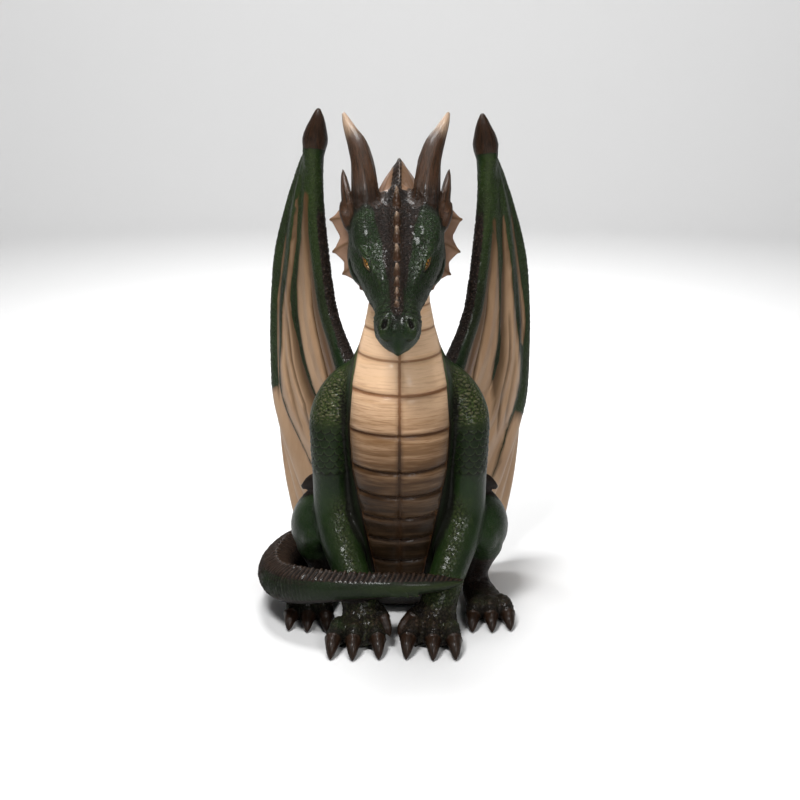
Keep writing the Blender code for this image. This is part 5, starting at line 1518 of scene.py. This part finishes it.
def paint_skin(colours, finish):
    """Green skin, brown scales, cream belly and webs, horn and eyes, under a gloss varnish."""
    p = Paint("painted_casting")
    place = p.node("TexCoord", out=3)
    split = p.node("SeparateXYZ", {}, {0: place})
    x, y, z = (Value(p, split.socket.node.outputs[k]) for k in range(3))
    (cream, belly, plate, horn, tip, brown, dark, leaf, scaly, crack, fold,
     hollow, deep) = map(p.mark, (*MARKS, "hollow", "deep"))
    grain = p.mark("grain", out=1)

    patches = p.noise(place, 11.0, 4.0)
    speckle = p.noise(place, 95.0, 3.0, 0.6)
    fleck = p.noise(place, 420.0, 2.0, 0.6)
    pebble = p.cells(place, 215.0)                       # pebbled skin, 5 mm
    crackle = p.cells(place, 128.0, "DISTANCE_TO_EDGE")  # cracked plates, 8 mm
    fine_crack = p.cells(place, 260.0, "DISTANCE_TO_EDGE")

    # the green skin
    # the hollows take a dark wash and, deepest in the broad hollows, painted shade; the ridges
    # take dry brushing and painted highlights
    sunk = hollow.step(0.08, 0.75) | (deep.step(0.15, 0.9) * 0.8)
    proud = (0 - hollow).step(0.10, 0.70)
    green = p.mix(patches.step(0.35, 0.68), colours.green, colours.deep_green)
    green = p.mix(leaf * 0.8 + (speckle.step(0.52, 0.80) * 0.30), green, colours.leaf)
    cracks = (crackle.step(0.09, 0.015) * crack) | (pebble.step(0.50, 0.75) * scaly * 0.45)
    green = p.mix(cracks * 0.75, green, colours.dark)
    green = p.mix(sunk * 0.85, green, colours.dark)
    green = p.mix(proud * 0.45 * fleck.step(0.40, 0.62), green, colours.leaf)
    # painted highlights: pale flecks on the shoulders' cracked tops
    green = p.mix(proud * leaf * crack * 0.17, green, colours.bone)

    # brown scales over the green, worn through at the edges of the patches
    worn = (brown + (speckle - 0.5) * 0.55 + (patches - 0.5) * 0.35).step(0.30, 0.62)
    bark = p.mix(speckle.step(0.35, 0.70), colours.brown, colours.dark)
    bark = p.mix((proud | (pebble.step(0.30, 0.10) * scaly * 0.4)) * 0.42, bark,
                 colours.light_brown)
    bark = p.mix((sunk | cracks) * 0.8, bark, colours.black)
    skin = p.mix(worn, green, bark)
    skin = p.mix(dark * 0.85, skin, colours.black)

    # the cream webs: painted shade in reddish brown along the fingers, on each panel's side
    # towards the arm and down the folds; reddish brown rib lines on the frills and the crest
    mottle = p.noise(p.stretch(place, (16.0, 16.0, 5.0)), 1.0, 4.0, 0.6)
    wing = y.step(0.075, 0.100)
    web = p.mix(mottle.step(0.38, 0.72) * 0.55, p.mix(wing, colours.web, colours.wing),
                p.mix(wing, colours.web_shade, colours.wing_shade))
    shade = (fold * 0.92) | (hollow.step(0.05, 0.60) * 0.75) | (deep.step(0.10, 0.75) * 0.8)
    web = p.mix(shade, web, colours.web_wash_and_shade)
    # painted shade, deepest in the wings' creases
    web = p.mix((fold * fold * wing * 0.55) | (fold * hollow.step(0.2, 0.8) * 0.7), web,
                colours.umber_and_shade)
    # painted highlights along the wings' raised folds
    web = p.mix(proud * wing * 0.5, web, colours.cream)
    # darker towards the wings' tops
    web = p.mix(wing * z.step(0.58, 0.94) * 0.68, web, colours.web_wash_and_shade)
    skin = p.mix(cream.step(-0.0008, 0.0012), skin, web)

    # belly plates: brush lines across, a brown line in each groove; darker lower down and at the
    # lower plates' sides, partly paint and partly painted shade
    sweep = p.stretch(place, (15.0, 15.0, 250.0))
    lines = p.noise(sweep, 1.0, 3.0, 0.65, 0.25)
    broad = p.noise(p.stretch(place, (5.0, 5.0, 60.0)), 1.0, 3.0, 0.6)
    # painted shade, together with browner paint, darkens the plates and grooves from here down
    low = z.step(0.67, 0.41)
    panel = p.mix(broad.step(0.36, 0.64) * 0.8 | z.step(0.95, 0.62) * 0.6, colours.cream,
                  colours.sand)
    panel = p.mix(lines.step(0.46, 0.66) * (0.16 + low * 0.60), panel, colours.wash)
    panel = p.mix(low * (0.55 + broad.step(0.30, 0.60) * 0.45), panel, colours.tan)
    panel = p.mix(z.step(0.58, 0.35) * (0.75 + broad.step(0.35, 0.65) * 0.25), panel,
                  colours.umber_and_shade)
    panel = p.mix(z.step(0.46, 0.20) * 0.72 | low * belly.step(0.030, 0.002) * 0.6, panel,
                  colours.dark)
    across = abs((plate + 0.5).fraction() - 0.5)
    middle = abs(x - BODY_SHIFT[0])
    wavy = (speckle - 0.5) * 0.004
    line = across.step(0.060, 0.020) | (middle + wavy).step(0.0050, 0.0016)
    halo = across.step(0.17, 0.02) | (middle + wavy).step(0.014, 0.002)
    groove = p.mix(z.step(0.60, 0.44), colours.wash, colours.umber_and_shade)
    panel = p.mix(halo * (0.30 + low * 0.25), panel, groove)
    panel = p.mix(line * (0.70 + low * 0.25), panel, groove)
    edge = belly + (speckle - 0.5) * 0.003
    skin = p.mix(edge.step(-0.0085, -0.0055) * belly.step(-0.03, -0.028), skin, colours.dark)
    skin = p.mix(edge.step(-0.0060, -0.0040) * belly.step(-0.03, -0.028) * z.step(0.50, 0.66),
                 skin, colours.leaf)
    skin = p.mix(edge.step(-0.0012, 0.0012), skin, panel)
    skin = p.mix(edge.step(0.009, 0.001) * edge.step(-0.0004, 0.0008) * 0.55, skin,
                 colours.wash)

    # horns and claws: streaked along, light at the tips
    streak = p.noise(p.stretch(grain, (2.6, 2.6, 0.42)), 2.0, 5.0, 0.7, 0.3)
    fibre = p.noise(p.stretch(grain, (9.0, 9.0, 0.8)), 2.0, 3.0, 0.6)
    keratin = p.mix(streak.step(0.40, 0.66), colours.horn, colours.dark)
    keratin = p.mix(fibre.step(0.52, 0.70) * 0.5, keratin, colours.light_brown)
    pale = (tip * (1.0 + (streak - 0.5) * 3.4)).step(0.15, 0.95)
    keratin = p.mix(pale * 0.92, keratin, p.mix(fibre.step(0.40, 0.62) * 0.6, colours.bone,
                                                colours.tan))
    keratin = p.mix(sunk * 0.7 | dark * 0.75, keratin, colours.black)
    root = horn + (fibre - 0.5) * 0.006
    skin = p.mix(horn.step(-0.004, 0.0) * 0.8, skin, colours.dark)
    skin = p.mix(root.step(-0.001, 0.0015), skin, keratin)

    # eyes
    head = np.array(BODY_SHIFT) + np.array(CROWN)
    aside = abs(x - (BODY_SHIFT[0] + lean(EYE[1])))
    folded = p.node("CombineXYZ", {}, {0: aside, 1: y, 2: z})
    centre = head + SKULL_ALONG * EYE[1] + SKULL_ABOVE * EYE[2] + (EYE[0] - head[0], 0, 0)
    gap = p.node("VectorMath", {"operation": "SUBTRACT"}, {0: folded, 1: tuple(centre)})

    def reach(axis):
        """How far from the eye's centre along one of its axes."""
        way = axis @ np.array([(1, 0, 0), SKULL_ALONG, SKULL_ABOVE])
        return p.node("VectorMath", {"operation": "DOT_PRODUCT"}, {0: gap, 1: tuple(way)}, out=1)

    u, v, out = reach(EYE_ALONG), reach(EYE_ACROSS), reach(EYE_OUT)
    opening = EYE_HEIGHT * (1.0 - (abs(u) / EYE_LENGTH & 1.0) ** 1.7)
    lid = abs(v) - opening
    about = abs(out).step(0.020, 0.016) * abs(u).step(EYE_LENGTH + 0.012, EYE_LENGTH + 0.009)
    iris_from = p.node("VectorMath", {"operation": "LENGTH"},
                       {0: p.node("CombineXYZ", {}, {0: u - EYE_PUPIL, 1: v, 2: 0.0})}, out=1)
    ball = p.mix(iris_from.step(0.0085, 0.0070), colours.sand, colours.amber)
    ball = p.mix(iris_from.step(0.0060, 0.0078) * iris_from.step(0.0098, 0.0086), ball,
                 colours.dark)
    ball = p.mix((abs(u - EYE_PUPIL) + abs(v) * 0.22).step(0.0024, 0.0016), ball,
                 colours.black)
    rim = abs(u).step(EYE_LENGTH + 0.006, EYE_LENGTH - 0.002)
    skin = p.mix(lid.step(0.0034, 0.0016) * about * rim * v.step(-0.002, 0.003) * 0.8, skin,
                 colours.tan)
    skin = p.mix(lid.step(0.0012, 0.0002) * about * rim, skin, colours.black)
    skin = p.mix(lid.step(-0.0002, -0.0010) * about * abs(u).step(EYE_LENGTH, EYE_LENGTH - 0.001),
                 skin, ball)
    wet = lid.step(0.0, -0.001) * about * abs(u).step(EYE_LENGTH, EYE_LENGTH - 0.001)

    # relief finer than the mesh, in metres
    is_web = (cream | belly).step(-0.001, 0.001)
    is_horn = horn.step(-0.001, 0.001)
    bare = (1 - is_web) * (1 - is_horn) * (1 - wet)
    relief = pebble.step(0.62, 0.12) * scaly * 0.00120
    relief = relief + crackle.step(0.0, 0.10) * crack * 0.00150
    relief = relief + fine_crack.step(0.0, 0.12) * (0.25 + crack * 0.75) * 0.00028
    relief = relief * bare
    relief = relief + (1 - lines) * belly.step(-0.001, 0.001) * 0.00110
    relief = relief + (streak * 0.0009 + fibre * 0.0005) * is_horn
    relief = relief + fleck * 0.00010 + speckle * 0.00016
    bumped = p.node("Bump", {}, {"Strength": 1.0, "Distance": 1.0, "Height": relief})
    gloss = 0.30 + speckle * 0.14 - proud * 0.05 + sunk * 0.20
    gloss = gloss + is_web * 0.04 + dark * bare * 0.30 + scaly * bare * 0.10
    p.set(Base_Color=skin, Roughness=gloss, Normal=bumped, IOR=1.23, Coat_Weight=finish.varnish,
          Coat_Roughness=finish.varnish_roughness, Coat_IOR=1.5)
    return p.material


def lay_floor(stage):
    """A round pale floor that curves up into a backdrop."""
    profile = [(FLOOR_RADIUS, 0.0)]
    for turn in (k / 12 * math.pi / 2 for k in range(1, 13)):
        profile.append((FLOOR_RADIUS + COVE_RADIUS * math.sin(turn),
                        COVE_RADIUS - COVE_RADIUS * math.cos(turn)))
    profile.append((FLOOR_RADIUS + COVE_RADIUS, BACKDROP_TOP))
    turns = [k * 2 * math.pi / 96 for k in range(96)]
    bm = bmesh.new()
    rings = [[bm.verts.new((radius * math.cos(a), radius * math.sin(a), height - FLOOR_DROP))
              for a in turns] for radius, height in profile]
    bm.faces.new(rings[0])
    for low, high in zip(rings, rings[1:]):
        for k in range(len(turns)):
            bm.faces.new((low[k - 1], low[k], high[k], high[k - 1]))
    bmesh.ops.recalc_face_normals(bm, faces=bm.faces)
    mesh = bpy.data.meshes.new("pale_floor")
    bm.to_mesh(mesh)
    bm.free()
    mesh.polygons.foreach_set("use_smooth", [True] * len(mesh.polygons))
    floor = bpy.data.objects.new("pale_floor", mesh)
    bpy.context.scene.collection.objects.link(floor)
    p = Paint("pale_floor")
    tone = p.noise(p.node("TexCoord", out=3), 1.3, 3.0)
    p.set(Base_Color=p.mix(tone * 0.03, stage.floor, [0.93 * value for value in stage.floor]),
          Roughness=0.7 + tone * 0.1)
    mesh.materials.append(p.material)


def light(stage):
    """Softboxes and a little light all round."""
    for name, (setting, place, aim, width, height) in SOFTBOXES.items():
        lamp = bpy.data.lights.new(name, "AREA")
        lamp.shape, lamp.size, lamp.size_y = "RECTANGLE", width, height
        lamp.energy = getattr(stage, setting)
        holder = bpy.data.objects.new(name, lamp)
        holder.location = place
        holder.rotation_euler = (Vector(aim) - Vector(place)).to_track_quat("-Z", "Y").to_euler()
        bpy.context.scene.collection.objects.link(holder)
    world = bpy.data.worlds.new("room")
    world.use_nodes = True
    sky = world.node_tree.nodes["Background"]
    sky.inputs["Color"].default_value = (1.0, 1.0, 1.0, 1.0)
    sky.inputs["Strength"].default_value = stage.room
    bpy.context.scene.world = world
    bpy.context.scene.view_settings.view_transform = "Standard"


def aim_camera(stage):
    """The camera that the photograph was taken with, as worked out from its perspective."""
    lens = bpy.data.cameras.new("camera")
    lens.sensor_width, lens.lens, lens.shift_x = SENSOR, stage.lens, CAMERA_SHIFT
    camera = bpy.data.objects.new("camera", lens)
    camera.location = CAMERA_PLACE
    camera.rotation_euler = (math.radians(90.0 - CAMERA_PITCH), 0.0, 0.0)
    bpy.context.scene.collection.objects.link(camera)
    bpy.context.scene.camera = camera


def size(name, description, default, low, high):
    """A length that a user would change."""
    return FloatProperty(name=name, description=description, default=default, min=low, max=high,
                         unit="LENGTH", subtype="DISTANCE", precision=5)


def colour(name, description, default):
    """A paint's colour."""
    return FloatVectorProperty(name=name, description=description, default=default, size=3,
                               min=0.0, max=1.0, subtype="COLOR")


def factor(name, description, default):
    """A share of the whole."""
    return FloatProperty(name=name, description=description, default=default, min=0.0, max=1.0,
                         subtype="FACTOR")


def watts(name, description, default):
    """A lamp's power."""
    return FloatProperty(name=name, description=description, default=default, min=0.0,
                         unit="POWER")


class DragonSizes(PropertyGroup):
    """Sizes of the skin's relief and the fineness of its faces"""
    skin_step: size("Skin grain", "Grain at which the skin is modelled", 0.0023, 0.0015, 0.01)
    groove_depth: size("Groove depth", "Depth of the grooves between the belly plates",
                       0.0058, 0.0, 0.015)
    scale_height: size("Scale height", "How far the arm's scales stand up", 0.0056, 0.0, 0.008)
    crack_depth: size("Crack depth", "Depth of the cracks between the head's plates",
                      0.0010, 0.0, 0.005)
    triangles: IntProperty(name="Triangles", description="Faces left on the finished skin",
                           default=190000, min=20000, max=199000)


class DragonColours(PropertyGroup):
    """The paints"""
    green: colour("Green", "Bottle green of the skin", (0.0075, 0.0190, 0.0040))
    deep_green: colour("Deep green", "The darker patches of the skin", (0.0040, 0.0110, 0.0025))
    # the leaf green also serves for painted highlights on the shoulders, forearms, scale rims,
    # tail and wings' arms
    leaf: colour("Leaf green", "Yellowish green brushed over ridges", (0.034, 0.050, 0.011))
    brown: colour("Brown", "The scaly brown parts", (0.020, 0.010, 0.006))
    light_brown: colour("Light brown", "Dry brushing on brown", (0.080, 0.048, 0.030))
    # the dark brown also serves for painted shade: in the broad hollows, on the flanks, under the
    # arms' scale rims and on the lower belly
    dark: colour("Dark brown", "The wash in the hollows", (0.0060, 0.0040, 0.0022))
    black: colour("Black brown", "The deepest hollows", (0.003, 0.002, 0.0015))
    # the cream also serves for painted highlights along the wings' raised folds
    cream: colour("Cream", "Belly and webs", (0.700, 0.505, 0.350))
    sand: colour("Sand", "Warmer patches in the cream", (0.640, 0.410, 0.235))
    # tan, dark brown and umber darken the lower belly partly as paint and partly as painted shade
    tan: colour("Tan", "The lower belly plates", (0.205, 0.100, 0.036))
    wash: colour("Reddish brown", "Brushed into the cream's folds and grooves",
                 (0.160, 0.064, 0.024))
    # umber is also painted shade, deepest in the webs' creases and on the lowest belly
    umber_and_shade: colour("Umber", "The lowest belly plates and the deepest folds",
                  (0.026, 0.0120, 0.0045))
    web: colour("Webs of the head", "Frills and nape crest", (0.205, 0.125, 0.084))
    web_shade: colour("Darker webs", "Patches in the frills and the crest",
                      (0.132, 0.070, 0.045))
    wing: colour("Wing skin", "The skins between the wings' fingers", (0.385, 0.250, 0.150))
    wing_shade: colour("Darker wing skin", "Patches in the wings' skins", (0.235, 0.132, 0.066))
    # the web wash is also painted shade on the webs' panels and in their creases, and darkens the
    # wings' tops
    web_wash_and_shade: colour("Web wash", "Brushed into the folds of the webs", (0.070, 0.036, 0.014))
    horn: colour("Horn", "Horns and claws", (0.034, 0.015, 0.007))
    # bone also serves for pale painted highlights on the shoulders
    bone: colour("Bone", "The horns' tips", (0.300, 0.225, 0.165))
    amber: colour("Amber", "The eyes", (0.300, 0.140, 0.022))


class DragonFinish(PropertyGroup):
    """The varnish"""
    varnish: factor("Varnish", "Share of clear gloss varnish", 0.10)
    varnish_roughness: factor("Varnish roughness", "How dull the varnish is", 0.14)


class DragonStage(PropertyGroup):
    """Floor, light and camera"""
    floor: colour("Floor", "Colour of the floor and backdrop", (0.74, 0.74, 0.74))
    key: watts("Key light", "Power of the soft light above in front", 92.0)
    top: watts("Top light", "Power of the soft light overhead", 54.0)
    fill: watts("Fill light", "Power of the light from in front", 34.0)
    rear: watts("Rear light", "Power of the soft light behind", 22.0)
    backdrop: watts("Backdrop light", "Power of the light on the backdrop", 260.0)
    room: FloatProperty(name="Room light", description="Strength of the light all round",
                        default=0.06, min=0.0)
    lens: FloatProperty(name="Lens", description="Focal length of the camera",
                        default=64.94, min=1.0, unit="CAMERA")


class DRAGON_OT_skin(Operator):
    """Model the dragon's skin with its fine relief and paint it"""
    bl_idname = "dragon.skin"
    bl_label = "Dragon skin"

    def execute(self, context):
        sizes = context.scene.dragon_sizes
        shells = Shells()
        for add in (add_body, add_feet, add_head, add_crest, add_tail, add_wings, add_elbow_fins):
            add(shells)
        mesh = fuse(shells, sizes.skin_step)
        skin = Skin(mesh, sizes.skin_step)
        skin.fill_joins(round(CAST_PASSES * (CAST_STEP / sizes.skin_step) ** 2))
        skin.even_out(2)
        relief = Relief(skin, sizes)
        for part in (relief.belly, relief.back, relief.arms, relief.legs, relief.tail,
                     relief.wings, relief.frills, relief.head, relief.horns, relief.claws,
                     relief.elbows, relief.finish):
            part()
        skin.at[:, 2] = np.maximum(skin.at[:, 2], 0.0)
        skin.at += np.array(BODY_SHIFT)
        # the relief doesn't make the statue any larger than its casting
        np.clip(skin.at, *np.array(CAD_BOX), out=skin.at)
        skin.put()
        statue = simplify(mesh, relief, sizes.triangles)
        statue.data.materials.append(paint_skin(context.scene.dragon_colours,
                                                context.scene.dragon_finish))
        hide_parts(CASTING)
        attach(statue, "root")
        return {"FINISHED"}


class DRAGON_OT_stage(Operator):
    """Lay the pale floor, hang the soft lights and set the camera"""
    bl_idname = "dragon.stage"
    bl_label = "Floor, light and camera"

    def execute(self, context):
        stage = context.scene.dragon_stage
        lay_floor(stage)
        light(stage)
        aim_camera(stage)
        return {"FINISHED"}


class DRAGON_PT_panel(Panel):
    """Sizes, colours, varnish and stage of the dragon, and its operators"""
    bl_label = "Seated dragon"
    bl_idname = "DRAGON_PT_panel"
    bl_space_type = "VIEW_3D"
    bl_region_type = "UI"
    bl_category = "Dragon"

    def draw(self, context):
        for settings in (context.scene.dragon_sizes, context.scene.dragon_colours,
                         context.scene.dragon_finish, context.scene.dragon_stage):
            box = self.layout.box()
            for name in settings.__annotations__:
                box.prop(settings, name)
        for operator in OPERATORS:
            self.layout.operator(operator.bl_idname)


OPERATORS = (DRAGON_OT_skin, DRAGON_OT_stage)
GROUPS = {"dragon_sizes": DragonSizes, "dragon_colours": DragonColours,
          "dragon_finish": DragonFinish, "dragon_stage": DragonStage}
CLASSES = (*GROUPS.values(), *OPERATORS, DRAGON_PT_panel)


def register():
    """Classes, and their settings on the scene."""
    for cls in CLASSES:
        bpy.utils.register_class(cls)
    for name, group in GROUPS.items():
        setattr(bpy.types.Scene, name, PointerProperty(type=group))


def unregister():
    """Everything that register() added, taken off again."""
    for name in GROUPS:
        delattr(bpy.types.Scene, name)
    for cls in reversed(CLASSES):
        bpy.utils.unregister_class(cls)


def main():
    """Build the dragon and its stage."""
    register()
    bpy.ops.dragon.skin()
    bpy.ops.dragon.stage()


if __name__ == "__main__":
    main()
